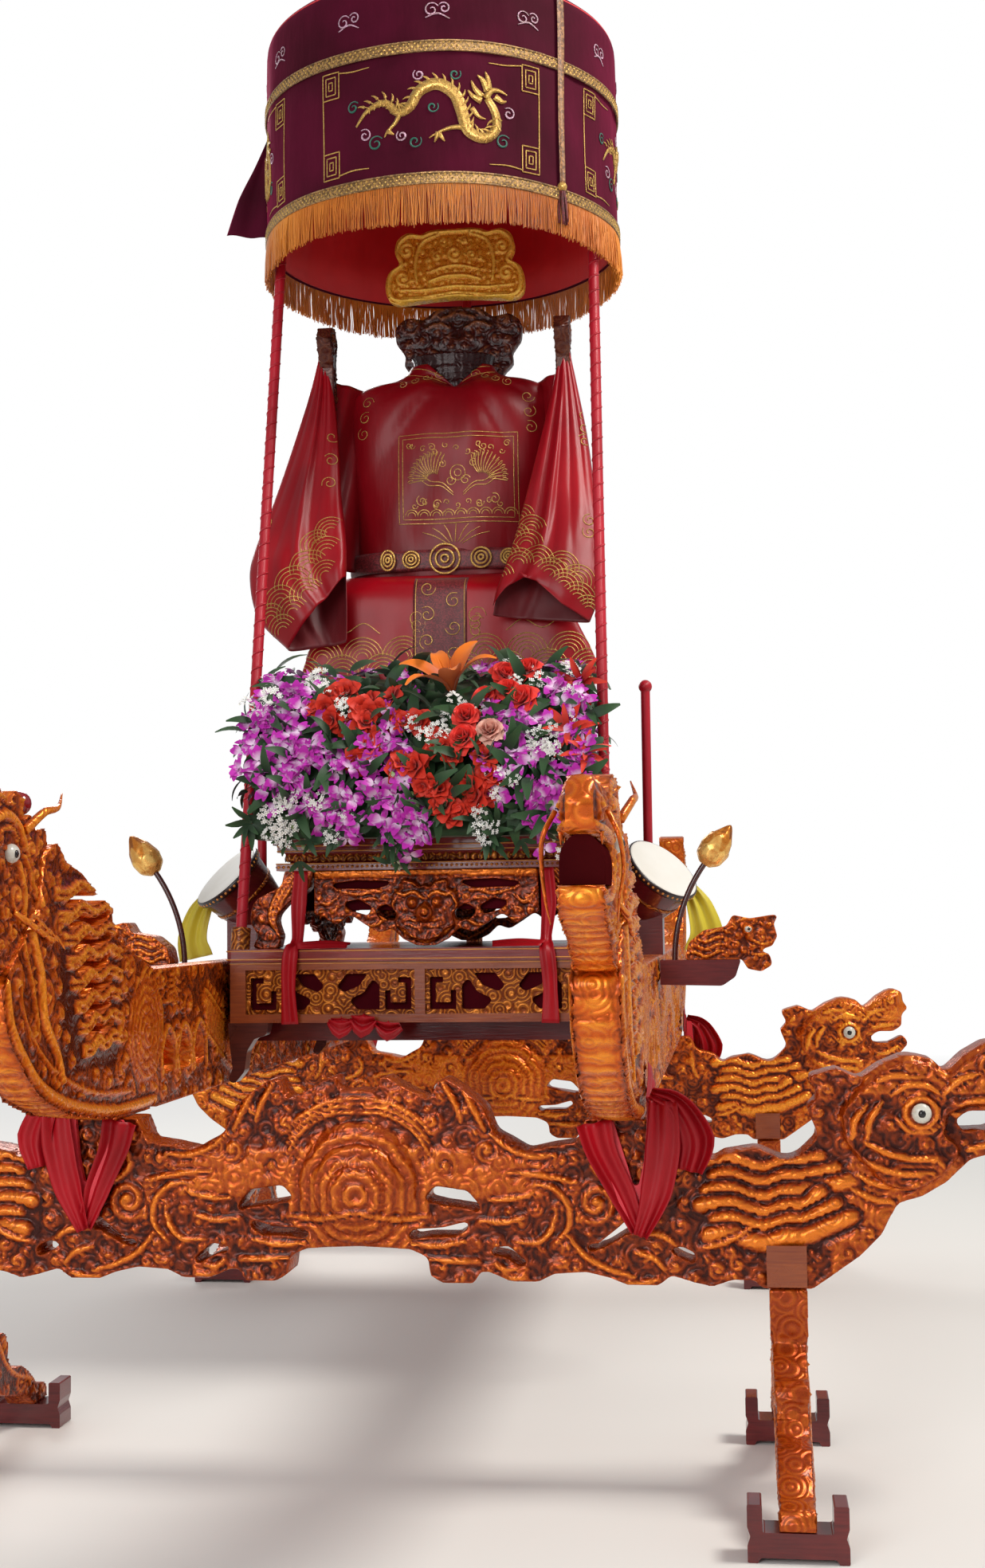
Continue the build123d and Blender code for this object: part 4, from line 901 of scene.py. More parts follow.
for sign in (-1, 1):
    cx = 30 + sign * 58
    chest += [[(cx - sign * 46, 2012), (cx - sign * 20, 2036), (cx + sign * 8, 2040),
        (cx + sign * 30, 2058)], [(cx - sign * 46, 2006), (cx - sign * 18, 2028), (cx + sign * 12, 2030),
        (cx + sign * 34, 2046)]]
    chest += [curl(cx - sign * 40, 2042, 13, 0.4, sign), curl(cx + sign * 30, 1994, 14, 2.0, -sign),
        curl(cx - sign * 20, 2082, 10, 1.0, sign), curl(cx - sign * 6, 1986, 11, 0.2, -sign),
        curl(cx + sign * 4, 2122, 10, 2.4, sign), curl(cx + sign * 60, 2130, 9, 0.4, sign)]
    for k in range(13):
        a = radians(-8 + 10.5 * k)
        dx, dz = sign * cos(a), sin(a)
        chest += [[(cx + 16 * dx, 2046 + 12 * dz), (cx + 34 * dx - 4 * dz, 2046 + 32 * dz),
            (cx + (62 - 0.8 * k) * dx, 2046 + 62 * dz)], [(cx + (50 - 0.8 * k) * dx, 2049 + 50 * dz),
            (cx + (56 - 0.8 * k) * dx + 4 * dz, 2052 + 58 * dz), (cx + (64 - 0.8 * k) * dx,
            2049 + 64 * dz)]]
chest += [arc(30, 2060, r, 0, 360, 15) for r in (8, 18)]
chest += [curl(-80 + 27 * k, 2128 - 9 * (k % 3), 8, 0.8 * k, 1 if k % 2 else -1, 1.0, 8) for k in range(9)]
chest += [curl(-76 + 26 * k, 1982 + 8 * (k % 2), 8, 1.1 * k, 1 if k % 3 else -1, 1.0, 8) for k in range(9)]
chest += [arc(-84 + 30 * k, 1958, r, 0, 180) for k in range(9) for r in (15, 9)]
for sign in (-1, 1):
    for k in range(4):
        chest.append(curl(20 + sign * (44 + 28 * k), 2322 - 11 * k, 13, 0.8 * k, sign))
    for k in range(3):
        chest.append(curl(sign * (196 + 4 * k), 2250 - 40 * k, 17, k, -sign))
    chest.append([(6 + sign * 14, 2314), (sign * 60, 2336), (sign * 98, 2344)])
    chest.append([(6 + sign * 10, 2296), (sign * 66, 2318), (sign * 112, 2326)])
for k in range(7):
    a = radians(40 + 16 * k)
    chest.append([(20 + 24 * cos(a), 1880 + 14 * sin(a)), (20 + 70 * cos(a), 1882 + 40 * sin(a)),
        (20 + 110 * cos(a), 1876 + 62 * sin(a))])
rows += thread_rows(tree_of(robe_body), chest, 3.0)
strands("gold_embroidery", rows, gold_thread, "gold_cloth", 3, 11.0)

# Belt: a stiff dark brocade band tied round the coat at its waist, with jewelled gold medallions
# sewn on, and a dark worked strip that hangs from it down the lap.
belt_dark = cloth_finish("belt_brocade", (0.045, 0.004, 0.006), (0.11, 0.01, 0.012), 0.45, 900, 0.1,
    painted_glint_scale=420.0)
belt_grid = []
for z in np.linspace(1826, 1876, 7):
    ring = []
    for k in range(120):
        a = tau * k / 120
        c, s = cos(a), sin(a)
        bulge = 3 * sqrt(max(0, 1 - ((z - 1851) / 25) ** 2))
        ring.append(((251 + bulge) * boxed(c, 0.72), 140 - (115 + bulge) * boxed(s, 0.72), z))
    belt_grid.append(ring)
cloth("belt", belt_grid, belt_dark, "dark_lacquer", closed=True, thick=4)
rows = []
for x, r in ((-143, 24), (-86, 20), (-4, 36), (84, 24), (150, 18)):
    for share in (1.0, 0.62, 0.25):
        rows.append(([(x + r * share * (0.7 if x < -140 else 1) * cos(a), 16 - 4 * (1 - share),
            1852 + r * share * sin(a)) for a in np.linspace(0, tau, 41)], (5, 5), 0.8, (0, -1, 0)))
strands("belt_medallions", rows, gold_thread, "gold_cloth")
strip_grid = []
for z in np.linspace(1800, 1556, 40):
    line = []
    for x in np.linspace(-70, 58, 24):
        hit, normal = cast(lap_tree, (x, -600, z), (0, 1, 0))
        line.append((x, (hit.y * 1000 if hit else -40) - 1.6, z))
    strip_grid.append(line)
strip = cloth("lap_strip", strip_grid, belt_dark, "dark_lacquer", (0.128, "draped", ["robe_lap"]),
    thick=1.0)
strip_lines = [curl(-36 + 62 * (k % 2), 1770 - 32 * k, 20, k * 1.1, 1 if k % 2 else -1) for k in range(7)]
strip_lines += [[(x, 1796), (x, 1680), (x, 1562)] for x in (-64, 52)]
strands("lap_strip_threads", thread_rows(tree_of(strip), strip_lines, 2.6), gold_thread, "gold_cloth", 5)

# Hat: stiffened gold brocade over card, with raised borders, petals round a low crown and a
# red field in the middle.
# The hat's gilt paints shade in the cuts and a highlight on the raised borders and petals.
hat_gold = gilt("hat_brocade", (0.34, 0.035, 0.006), (0.78, 0.3, 0.014), (0.98, 0.58, 0.08), 70.0, 0.15,
    0.25, 0.5)
HAT_Z = 2546
hat_board = board_of(380, 200, (-190, 0))
HAT_EDGE = [(0, 8), (60, 5), (120, 0), (152, 0), (172, 14), (177, 46), (168, 78), (146, 94), (142, 104),
    (152, 128), (146, 160), (120, 178), (84, 174), (60, 182), (0, 184)]
HAT_EDGE = HAT_EDGE + [(-x, z) for x, z in reversed(HAT_EDGE[1:-1])]
hat_line = smooth_line(HAT_EDGE + HAT_EDGE[:1], 6.0)
ridge(hat_board, [(0.95 * x, 90 + 0.93 * (z - 90)) for x, z in hat_line], 10, 1.2, taper=1.0)
ridge(hat_board, [(-150, 34), (-80, 30), (0, 36), (80, 30), (150, 34)], 9, 1.1)
ridge(hat_board, [(-150, 14), (-80, 12), (0, 20), (80, 12), (150, 14)], 8, 1.0)
ridges(hat_board, [[(side * x, z) for x, z in ((96, 50), (100, 96), (84, 150), (40, 172))]
    for side in (-1, 1)], 10, 1.2)
ridge(hat_board, [(-64, 52), (-24, 62), (24, 62), (64, 52)], 12, 1.2)
ridge(hat_board, [(-70, 76), (0, 90), (70, 76)], 9, 1.0)
for u, v, r, turn in ((-132, 64, 22, 1), (132, 64, 22, -1), (-122, 134, 22, -1), (122, 134, 22, 1),
        (0, 122, 22, 1), (-44, 116, 15, -1), (44, 116, 15, 1), (-26, 154, 13, 1), (26, 154, 13, -1),
        (-66, 106, 11, 1), (66, 106, 11, -1)):
    scroll(hat_board, u, v, r, 1.5, turn)
for k in range(9):
    a = radians(22 + 17 * k)
    ridge(hat_board, [(26 * cos(a), 122 + 24 * sin(a)), (44 * cos(a), 122 + 40 * sin(a))], 7)
fill(hat_board, 3, 5, 9, 0.75)
hat_shape = bmesh.new()
for y0, y1, grow in ((200, 238, 1.0), (230, 346, 0.66)):
    front_ring = [hat_shape.verts.new((x * grow / 1000, y0 / 1000,
        (HAT_Z + 0.5 + (z if grow == 1 else 62 + 0.5 * z)) / 1000)) for x, z in hat_line[:-1]]
    card = hat_shape.faces.new(front_ring)
    grown = bmesh.ops.extrude_face_region(hat_shape, geom=[card])
    for v in [v for v in grown["geom"] if isinstance(v, bmesh.types.BMVert)]:
        v.co.y = y1 / 1000
bmesh.ops.recalc_face_normals(hat_shape, faces=hat_shape.faces)
hat_card = bpy.data.meshes.new("hat_card")
hat_shape.to_mesh(hat_card)
hat_shape.free()
hat = fine_copy("lobed_hat", hat_card, 0.0032)
carve(hat, 1, height_of(hat_board, 0, HAT_Z), 7.0, 2.5)
thinned(hat, 0.5, hat_gold, "gold_cloth", "hat")


# Canopy: maroon velvet over a hoop frame, one sheet that runs from the fringe up the wall and over
# the roof, lined with red cloth, with two gold braids, a fringe and four worked panels.
velvet = cloth_finish("maroon_velvet", (0.04, 0.002, 0.008), (0.082, 0.003, 0.018), 0.8, 60, 0.4, 0.0, 0.5,
    0.1, (1.0, 0.05, 0.22))
red_lining = cloth_finish("red_lining", (0.56, 0.006, 0.01), (0.7, 0.012, 0.018), 0.55, 1200, 0.2)
braid_gold = cloth_finish("gold_braid", (0.15, 0.08, 0.03), (0.3, 0.17, 0.06), 0.45, 2600, 0.1, 0.8, 0.1,
    0.7, metal=0.45, painted_glint_scale=260.0)
CAN_Y, CAN_R, PANEL_Z = 23.0, 423.0, 2772.0


def drum_point(angle, z, r):
    return np.array((r * sin(angle), CAN_Y - r * cos(angle), z))


def wall_radius(angle, z):
    sag = 2.6 * sin(4 * (angle - 0.08)) + 1.8 * sin(11 * angle + z / 90) + 1.2 * sin(23 * angle + 1)
    return CAN_R - 1 + sag * sin(pi * min(1, max(0, (z - 2600) / 480)))


OUTER = [(z, None) for z in np.linspace(2604, 3060, 30)] + [(3074, 421), (3086, 416), (3096, 404),
    (3106, 384), (3122, 340), (3140, 280), (3156, 220), (3170, 150), (3178, 80), (3180, 30), (3181, 2)]
velvet_grid = []
for z, r in OUTER:
    velvet_grid.append([drum_point(tau * k / 180, z + (2.0 * sin(9 * tau * k / 180) if r and 100 < r < 400
        else 0), r or wall_radius(tau * k / 180, z)) for k in range(180)])
cloth("canopy_velvet", velvet_grid, velvet, "velvet", (2.68, "stretched", ["canopy_hoops"]),
    ["canopy_drum", "canopy_roof"], True, 2.0)
lining_grid = []
for z, r in [(2606, 412), (2700, 411), (2800, 409), (2900, 409), (3000, 408), (3050, 404), (3080, 388),
        (3100, 330), (3118, 240), (3130, 130), (3134, 40), (3135, 2)]:
    lining_grid.append([drum_point(tau * k / 200, z,
        r - 4 * abs(sin(14 * tau * k / 200)) * (2610 < z < 3090)) for k in range(200)])
cloth("canopy_lining", lining_grid, red_lining, "red_satin", (2.6, "stretched", ["canopy_hoops"]), (), True,
    1.2)
hoop_rows = [([drum_point(tau * k / 90, z, 416) for k in range(91)], (9, 9), 1.0, (0, 0, 1))
    for z in (2612, 2920, 3080)]
strands("canopy_hoops", hoop_rows, red_lining, "red_satin", 8)


def drum_rows(lines, centre, wide, thick=0.5, lift=2.4):
    """Flat drawings, arc length and height, laid round the wall."""
    rows = []
    for line in lines:
        places = [(centre + u / CAN_R, PANEL_Z + v) for u, v in smooth_line(line, 9.5)]
        rows.append(([drum_point(a, z, wall_radius(a, z) + lift) for a, z in places], wide, thick,
            [(sin(a), -cos(a), 0) for a, _ in places]))
    return rows


BODY_LINE = [(-168, -16), (-140, 16), (-100, 30), (-68, 4), (-40, 14), (-20, 46), (20, 62), (58, 40),
    (74, 0), (88, -44), (124, -58), (152, -34), (150, 4), (132, 34)]
gold_lines, green_lines, pale_lines = [], [], []
for panel in range(4):
    centre = 0.08 + panel * pi / 2
    gold_lines += drum_rows([BODY_LINE], centre, (5, 15, 22, 28, 28, 26, 22, 17), 0.3)
    body_pts = smooth_line(BODY_LINE, 13.0)
    for k in range(3, len(body_pts) - 3):
        d = body_pts[k + 1] - body_pts[k - 1]
        d /= np.linalg.norm(d)
        side = np.array((-d[1], d[0]))
        root = body_pts[k] + side * 11
        gold_lines += drum_rows([[root, root + side * 8 - d * 5, root + side * 13 - d * 12]], centre,
            (7, 5, 1.5))
        gold_lines += drum_rows([[body_pts[k] - side * 11, body_pts[k] + d * 6, body_pts[k] + side * 11]],
            centre, (2, 3, 2), 0.6, 5.5)
    gold_lines += drum_rows([[(128, 34), (142, 52), (160, 54), (178, 46)],
        [(150, 40), (166, 30), (176, 32)], [(132, 50), (122, 74), (110, 84)],
        [(136, 54), (134, 78), (128, 94)], [(120, 36), (104, 52), (96, 70)],
        [(118, 26), (100, 34), (88, 48)]], centre, (16, 11, 3), 0.4, 3.4)
    gold_lines += drum_rows([[(-62, 6), (-74, -18), (-92, -36), (-100, -50)], [(-92, -36), (-78, -46)],
        [(80, -36), (50, -38), (22, -48), (2, -60)], [(22, -48), (14, -70)],
        [(96, 8), (112, -10), (128, -14)], [(22, -48), (36, -68)]], centre, (13, 8, 3))
    for x, z, r, turn in ((-120, -62, 18, 1), (-30, -66, 16, -1), (168, -62, 17, 1), (10, 10, 14, -1),
            (-176, 30, 15, 1), (60, 84, 14, -1)):
        green_lines += drum_rows([curl(x, z, r, 0.6, turn)], centre, (3, 6, 3), 0.4)
    for x, z, r, turn in ((-146, -40, 16, -1), (-60, -50, 13, 1), (182, 4, 15, -1), (-20, 84, 13, 1)):
        pale_lines += drum_rows([curl(x, z, r, 2.2, turn)], centre, (3, 6, 3), 0.4)
    for sx in (-1, 1):
        for sz in (-1, 1):
            box_x, box_z = sx * 236, sz * 92
            for w, h in ((22, 30), (13, 20), (5, 9)):
                gold_lines += drum_rows(square(box_x - w, box_x + w, box_z - h, box_z + h), centre,
                    (3.2, 3.2))
            gold_lines += drum_rows([[(box_x - sx * 24, box_z + sz * 26),
                (box_x - sx * 60, box_z + sz * 22), (box_x - sx * 100, box_z + sz * 24)]], centre,
                (3.5, 3.5, 2))
        gold_lines += drum_rows([[(sx * 258, -110), (sx * 258, 0), (sx * 258, 110)]], centre, (3.5, 3.5))
    for k in range(3):
        pale_lines += drum_rows([curl(-200 + 210 * k, 232, 17, 0.5, 1), curl(-172 + 210 * k, 236, 14, 2.5,
            -1), [(-214 + 210 * k, 214), (-186 + 210 * k, 224), (-160 + 210 * k, 212)]], centre, (3, 5, 3),
            0.5)
pale_thread = cloth_finish("pale_thread", (0.3, 0.2, 0.16), (0.42, 0.24, 0.32), 0.45, 2400, 0.2,
    painted_glint_scale=500.0)
green_thread = cloth_finish("green_thread", (0.008, 0.09, 0.06), (0.02, 0.17, 0.11), 0.5, 2400, 0.2)
strands("canopy_gold_work", gold_lines, gold_thread, "gold_cloth", 4, 11.0)
strands("canopy_green_work", green_lines, green_thread, "velvet", 3, 11.0)
strands("canopy_pale_work", pale_lines, pale_thread, "gold_cloth", 3, 11.0)


# Braids and fringe: two woven gold bands round the drum, set with small beads, and a silk fringe
# that hangs from the lower one.
def repeated(name, places, turns, sizes, shape, finish, slot, uneven=0.15, seed=1):
    """A shape repeated at many places, then made one plain mesh."""
    tree = bpy.data.node_groups.new(name + "_tree", "GeometryNodeTree")
    for label, way in (("Places", "INPUT"), ("Made", "OUTPUT")):
        tree.interface.new_socket(label, in_out=way, socket_type="NodeSocketGeometry")
    given = {"Shape": ("Object", shape), "Uneven": ("Float", uneven), "Seed": ("Int", seed),
        "Finish": ("Material", finish)}
    keys = {}
    for label, (kind, _) in given.items():
        socket = tree.interface.new_socket(label, in_out="INPUT", socket_type="NodeSocket" + kind)
        keys[label] = socket.identifier
    node = node_maker(tree, "")
    inlet = node("NodeGroupInput").node.outputs
    turn = node("GeometryNodeInputNamedAttribute", {"Name": "turn"}, "Attribute", data_type="FLOAT_VECTOR")
    size = node("GeometryNodeInputNamedAttribute", {"Name": "size"}, "Attribute", data_type="FLOAT")
    chance = node("FunctionNodeRandomValue", {2: -1.0, 3: 1.0, "Seed": inlet["Seed"]}, 1, data_type="FLOAT")
    grow = node("ShaderNodeMath", {0: chance, 1: inlet["Uneven"], 2: 1.0}, operation="MULTIPLY_ADD")
    scale = node("ShaderNodeMath", {0: size, 1: grow}, operation="MULTIPLY")
    one = node("GeometryNodeObjectInfo", {"Object": inlet["Shape"]}, "Geometry")
    put = node("GeometryNodeInstanceOnPoints", {"Points": inlet["Places"], "Instance": one, "Scale": scale,
        "Rotation": node("FunctionNodeEulerToRotation", {0: turn})})
    whole = node("GeometryNodeRealizeInstances", {0: put})
    painted_whole = node("GeometryNodeSetMaterial", {"Geometry": whole, "Material": inlet["Finish"]})
    node("NodeGroupOutput", {"Made": painted_whole})
    piece = made(name, np.array(places) / 1000, [])
    piece.data.attributes.new("turn", "FLOAT_VECTOR", "POINT").data.foreach_set("vector",
        np.array(turns, np.float32).ravel())
    marked(piece.data, "size", np.broadcast_to(np.array(sizes, np.float32), (len(places),)))
    grower = piece.modifiers.new("repeat", "NODES")
    grower.node_group = tree
    for label, (_, value) in given.items():
        grower[keys[label]] = value
    return finished(applied(piece), finish, slot)


def pattern_piece(name, verts, faces, tips=None):
    """A small shape to repeat, kept out of the scene."""
    piece = made(name, np.array(verts) / 1000, faces)
    scene.collection.objects.unlink(piece)
    if tips:
        marked(piece.data, "tip", tips)
    return piece


rows = []
for z, h in ((2620, 27), (2920, 26)):
    for off, w in ((0, h), (-h / 2 + 2, 5), (h / 2 - 2, 5)):
        turn_list = [pi + tau * k / 180 for k in range(181)]
        rows.append(([drum_point(a, z + off + 2.2 * sin(5 * a), 425.5 + (2 if w < 6 else 0))
            for a in turn_list], (w, w), 0.18 if w > 6 else 0.8, [(sin(a), -cos(a), 0) for a in turn_list]))
strands("canopy_braids", rows, braid_gold, "gold_cloth")
bead = pattern_piece("bead", [(0, -3, 0), (3, 0, 0), (0, 0, 4), (-3, 0, 0), (0, 0, -4)],
    [(0, 1, 2), (0, 2, 3), (0, 3, 4), (0, 4, 1)])
places, turns = [], []
for z in (2620, 2920):
    for row in (-1, 0, 1):
        for k in range(210):
            a = tau * (k + 0.5 * (row % 2)) / 210
            places.append(drum_point(a, z + row * 7 + 2.2 * sin(5 * a), 427))
            turns.append((0, 0, a))
repeated("braid_beads", places, turns, 1.0, bead, gold_thread, "gold_cloth", 0.2, 4)
silk = cloth_finish("orange_silk", (0.62, 0.16, 0.008), (0.85, 0.3, 0.02), 0.45, 900, 0.4, 0.1, 0.1, 0.5)
strand_rings = []
for k in range(3):
    t = k / 2
    strand_rings += [(1.5 * (1 - 0.2 * t) * cos(a), -2.5 * t * (1 - t) * 2 + 1.5 * sin(a), -96 * t)
        for a in (0.3, 2.4, 4.5)]
strand_faces = [(3 * k + j, 3 * k + (j + 1) % 3, 3 * k + 3 + (j + 1) % 3, 3 * k + 3 + j) for k in range(2)
    for j in range(3)]
silk_strand = pattern_piece("silk_strand", strand_rings, strand_faces)
rng = np.random.default_rng(21)
places, turns, sizes = [], [], []
for row in range(3):
    for k in range(900):
        a = tau * (k + row / 3) / 900
        clump = 0.05 * sin(a * 57) + 0.03 * sin(a * 131 + row)
        places.append(drum_point(a, 2610 + 2.2 * sin(5 * a), 422.5 + 1.6 * row))
        turns.append((rng.normal(0, 0.035), rng.normal(0, 0.05) + clump, a))
        sizes.append(0.86 + 0.1 * sin(a * 5 + 1) * 0.5 + rng.random() * 0.08)
repeated("silk_fringe", places, turns, sizes, silk_strand, silk, "gold_cloth", 0.03, 5)


# Long beams: the neck with its scuted belly, sinuous lock and eight combed mane strands, the
# shoulder swirl, a scaled body that winds through clouds, and the curled tail.
BEAM_Z, BEAM_X = 642.0, 468.0
SIDES = ((1, "right"), (-1, "left"))
beam_board = board_of(3600, 620, (-1700, -4))


ridges(beam_board, ([(-900, 16), (-1125, 18), (-1340, 48), (-1474, 88), (-1556, 140), (-1614, 200),
    (-1632, 262)], [(900, 16), (1125, 20), (1400, 80), (1570, 160), (1670, 270), (1716, 400)]), 22, 0.95,
    taper=0.9)
ridges(beam_board, ([(-1040, 46), (-1200, 54), (-1330, 80), (-1440, 118), (-1520, 168), (-1568, 222),
    (-1578, 290)], [(1040, 46), (1200, 52), (1380, 110), (1530, 190), (1620, 300), (1668, 420)]), 11, 0.8,
    taper=0.9)
ridge(beam_board, [(-1548, 452), (-1540, 360), (-1492, 270), (-1476, 200), (-1420, 140), (-1392, 92)], 25,
    1.15)
ridge(beam_board, [(-1560, 420), (-1566, 330), (-1520, 240), (-1496, 160)], 12, 0.9)
for k in range(8):
    y0, z = -1430 + 20 * k, 405 - 38 * k
    for off, wide in ((-7, 13), (5, 12)):
        span = -1100 - y0
        ridge(beam_board, [(y0, z - 2 + off)] + [(y0 + a * span, z - 2 + b + off) for a,
            b in ((0.18, -2), (0.36, 14), (0.56, 2), (0.78, 16), (1.0, 8))], wide, 1.1, taper=0.9)
gaps = (beam_board.u > -1400) & (beam_board.u < -1112) & (beam_board.v > 100) & (beam_board.v < 440)
beam_board.taken[gaps] = 1.0
for k in range(8):
    scroll(beam_board, -1078 + 8 * (k % 2), 400 - 42 * k, 21, 1.5, 1 if k % 2 else -1, 1.0 + k)
for k, (u, v) in enumerate(((-1444, 420), (-1470, 372), (-1452, 330), (-1436, 288), (-1410, 246),
        (-1396, 204), (-1372, 160), (-1346, 124))):
    scroll(beam_board, u, v, 17, 1.3, -1 if k % 2 else 1, k)
for side in (-1, 1):
    rings(beam_board, side * 948, 150, 104, 5.5, 9, 1.0)
    for k in range(6):
        a = 0.5 + 0.36 * k
        ridge(beam_board, [(side * (948 - 108 * cos(a)), 150 + 96 * sin(a)),
            (side * (932 - 142 * cos(a - 0.2)), 150 + 122 * sin(a - 0.1)),
            (side * (900 - 170 * cos(a - 0.1)), 146 + 118 * sin(a))], 12, 0.9)
    for k in range(4):
        ridge(beam_board, [(side * (842 - 6 * k), 200 + 14 * k), (side * 790, 214 + 12 * k),
            (side * 744, 176 + 18 * k), (side * 700, 196 + 16 * k)], 9, 0.9)
    for y in (600, 706, 812):
        ridge(beam_board, [(side * (y - 46), 54), (side * (y - 40), 118), (side * (y + 6), 148),
            (side * (y + 48), 100), (side * (y + 40), 50)], 11, 1.0, taper=0.8)
wave_line = [(u, 128 + 62 * sin(u / 128.0 + 0.6)) for u in range(-560, 561, 40)]
for off, wide in ((44, 11), (-44, 11)):
    ridge(beam_board, [(u, v + off) for u, v in wave_line], wide, 1.0, taper=0.9)
for k in range(-26, 27):
    u = k * 21
    v = 128 + 62 * sin(u / 128.0 + 0.6) + 50
    ridge(beam_board, [(u, v), (u + 6, v + 12), (u + 14, v + 18)], 9, 0.95)
body_band = (np.abs(beam_board.v - 128 - 62 * np.sin(beam_board.u / 128.0
    + 0.6)) < 40) & (np.abs(beam_board.u) < 560)
scales(beam_board, body_band, 27, 0.95)
for k in range(7):
    ridge(beam_board, [(1560 + 10 * k, 250 + 26 * k), (1620 + 9 * k, 330 + 28 * k),
        (1650 + 8 * k, 420 + 22 * k), (1720 + 8 * k, 470 + 14 * k)], 10, 0.9)
scroll(beam_board, 1790, 494, 44, 2.0, 1, 1.0)
for y in (-170, 170, -400, 400):
    scroll(beam_board, y, 230, 24, 1.6, 1 if y > 0 else -1)
fill(beam_board, 31, 15, 38, 0.85, 5200)


def scute(piece, path, pitch, deep, middle):
    """Cross plates along the belly edge of a neck or jaw, as on a snake."""
    mesh = piece.data
    co, no = corners_of(mesh)
    co *= 1000
    line = smooth_line([(a, b + BEAM_Z) for a, b in path], 8.0)
    reach = np.concatenate([[0], np.cumsum(np.linalg.norm(np.diff(line, axis=0), axis=1))])
    kept = np.where((np.abs(no[:, 0]) < 0.75) & (co[:, 1] < line[0][0] + 40))[0]
    best, at = np.full(len(kept), 1e9), np.zeros(len(kept), int)
    for k, (a, b) in enumerate(line):
        d = np.hypot(co[kept, 1] - a, co[kept, 2] - b)
        at = np.where(d < best, k, at)
        best = np.minimum(best, d)
    close = best < 26
    kept, at = kept[close], at[close]
    a0 = line[np.maximum(at - 1, 0)]
    a1 = line[np.minimum(at + 1, len(line) - 1)]
    way = (a1 - a0) / np.maximum(np.linalg.norm(a1 - a0, axis=1), 1e-6)[:, None]
    s = reach[at] + ((co[kept, 1:] - line[at]) * way).sum(axis=1)
    t = (s / pitch) % 1.0
    across = np.clip(1 - ((co[kept, 0] - middle) / 34) ** 2, 0, 1)
    h = np.where(t < 0.86, 0.35 + 0.65 * (t / 0.86) ** 1.4, 0.35 + 0.65 * (1 - t) / 0.14) * across ** 0.5
    face = np.clip((0.75 - np.abs(no[kept, 0])) / 0.3, 0, 1)
    co[kept] += no[kept] * (face * (h - 1) * deep)[:, None]
    # The plates' depth goes into the mark, painted by the gilt as shade in the steps between plates and
    # highlight on their edges.
    mark = np.zeros(len(co), np.float32)
    mesh.attributes["cut"].data.foreach_get("value", mark)
    mark[kept] = mark[kept] * (1 - face) + face * (0.15 + 0.75 * h)
    mesh.attributes["cut"].data.foreach_set("value", mark)
    move_corners(mesh, co / 1000)


BELLY = [(-1000, 0), (-1125, 0), (-1238, 15), (-1350, 34), (-1420, 50), (-1483, 76), (-1530, 100),
    (-1570, 132), (-1605, 165), (-1632, 200), (-1643, 232), (-1646, 262)]
for side, name in SIDES:
    beam_piece = fine_copy("dragon_beam_" + name, nodes["long_beam_" + name].data, 0.0058)
    carve(beam_piece, 0, height_of(beam_board, 1, BEAM_Z), 9.0)
    scute(beam_piece, BELLY, 33, 7.0, side * BEAM_X)
    thinned(beam_piece, 0.335, orange_gilt, "gilt_carving", "long_beam_" + name)

# Dragon heads of the long beams: a domed snout over a dark open mouth, a white eye under a rolled
# brow, curls on the cheek and jaw, and a glass knob on the crown.
head_board = board_of(470, 330, (-1900, 250))
for line, width in (([(-1886, 482), (-1840, 474), (-1780, 472), (-1720, 464), (-1694, 440)], 13),
        ([(-1866, 390), (-1800, 378), (-1720, 384), (-1676, 408), (-1668, 440)], 12),
        ([(-1850, 358), (-1780, 342), (-1700, 324), (-1640, 318)], 9),
        ([(-1664, 512), (-1620, 522), (-1572, 504), (-1546, 472)], 20),
        ([(-1648, 496), (-1610, 502), (-1578, 488)], 9),
        ([(-1760, 520), (-1720, 540), (-1660, 550), (-1600, 540)], 12),
        ([(-1740, 506), (-1700, 524), (-1660, 528)], 8), ([(-1574, 448), (-1550, 400), (-1556, 350)], 14),
        ([(-1556, 460), (-1524, 430), (-1500, 396)], 12)):
    ridge(head_board, line, width, 1.0, taper=0.6)
for u, v, r, turn in ((-1848, 508, 21, 1), (-1806, 500, 13, -1), (-1580, 396, 27, 1), (-1626, 372, 20, -1),
        (-1668, 350, 17, 1), (-1596, 340, 19, -1), (-1642, 320, 16, 1), (-1708, 344, 13, -1),
        (-1520, 470, 22, 1), (-1484, 482, 16, -1), (-1560, 530, 14, 1), (-1700, 494, 14, 1),
        (-1760, 494, 12, -1), (-1502, 430, 17, 1), (-1620, 430, 13, -1)):
    scroll(head_board, u, v, r, 1.5, turn)
fill(head_board, 33, 8, 17)


eye_white = lacquer("eye_white", (0.58, 0.56, 0.48), (0.7, 0.68, 0.6), 0.15)
pupil_black = lacquer("pupil_black", (0.004, 0.003, 0.003), (0.008, 0.006, 0.006), 0.12)
glass_red = lacquer("glass_red", (0.16, 0.004, 0.008), (0.26, 0.008, 0.012), 0.05)
mouth_red = cloth_finish("mouth_red", (0.028, 0.002, 0.003), (0.055, 0.004, 0.005), 0.8, 300, 0.0, 0.05,
    0.1, 0.0)


def ball(name, centre, radius, finish, slot, squash=(1, 1, 1), cut=20):
    """A turned bead or eye."""
    piece = made(name, [], [])
    shape = bmesh.new()
    bmesh.ops.create_uvsphere(shape, u_segments=cut, v_segments=cut // 2, radius=1.0)
    for v in shape.verts:
        v.co = (Vector(centre) + Vector([c * radius * share for c, share in zip(v.co, squash)])) / 1000
    shape.to_mesh(piece.data)
    shape.free()
    piece.data.shade_smooth()
    return finished(piece, finish, slot)


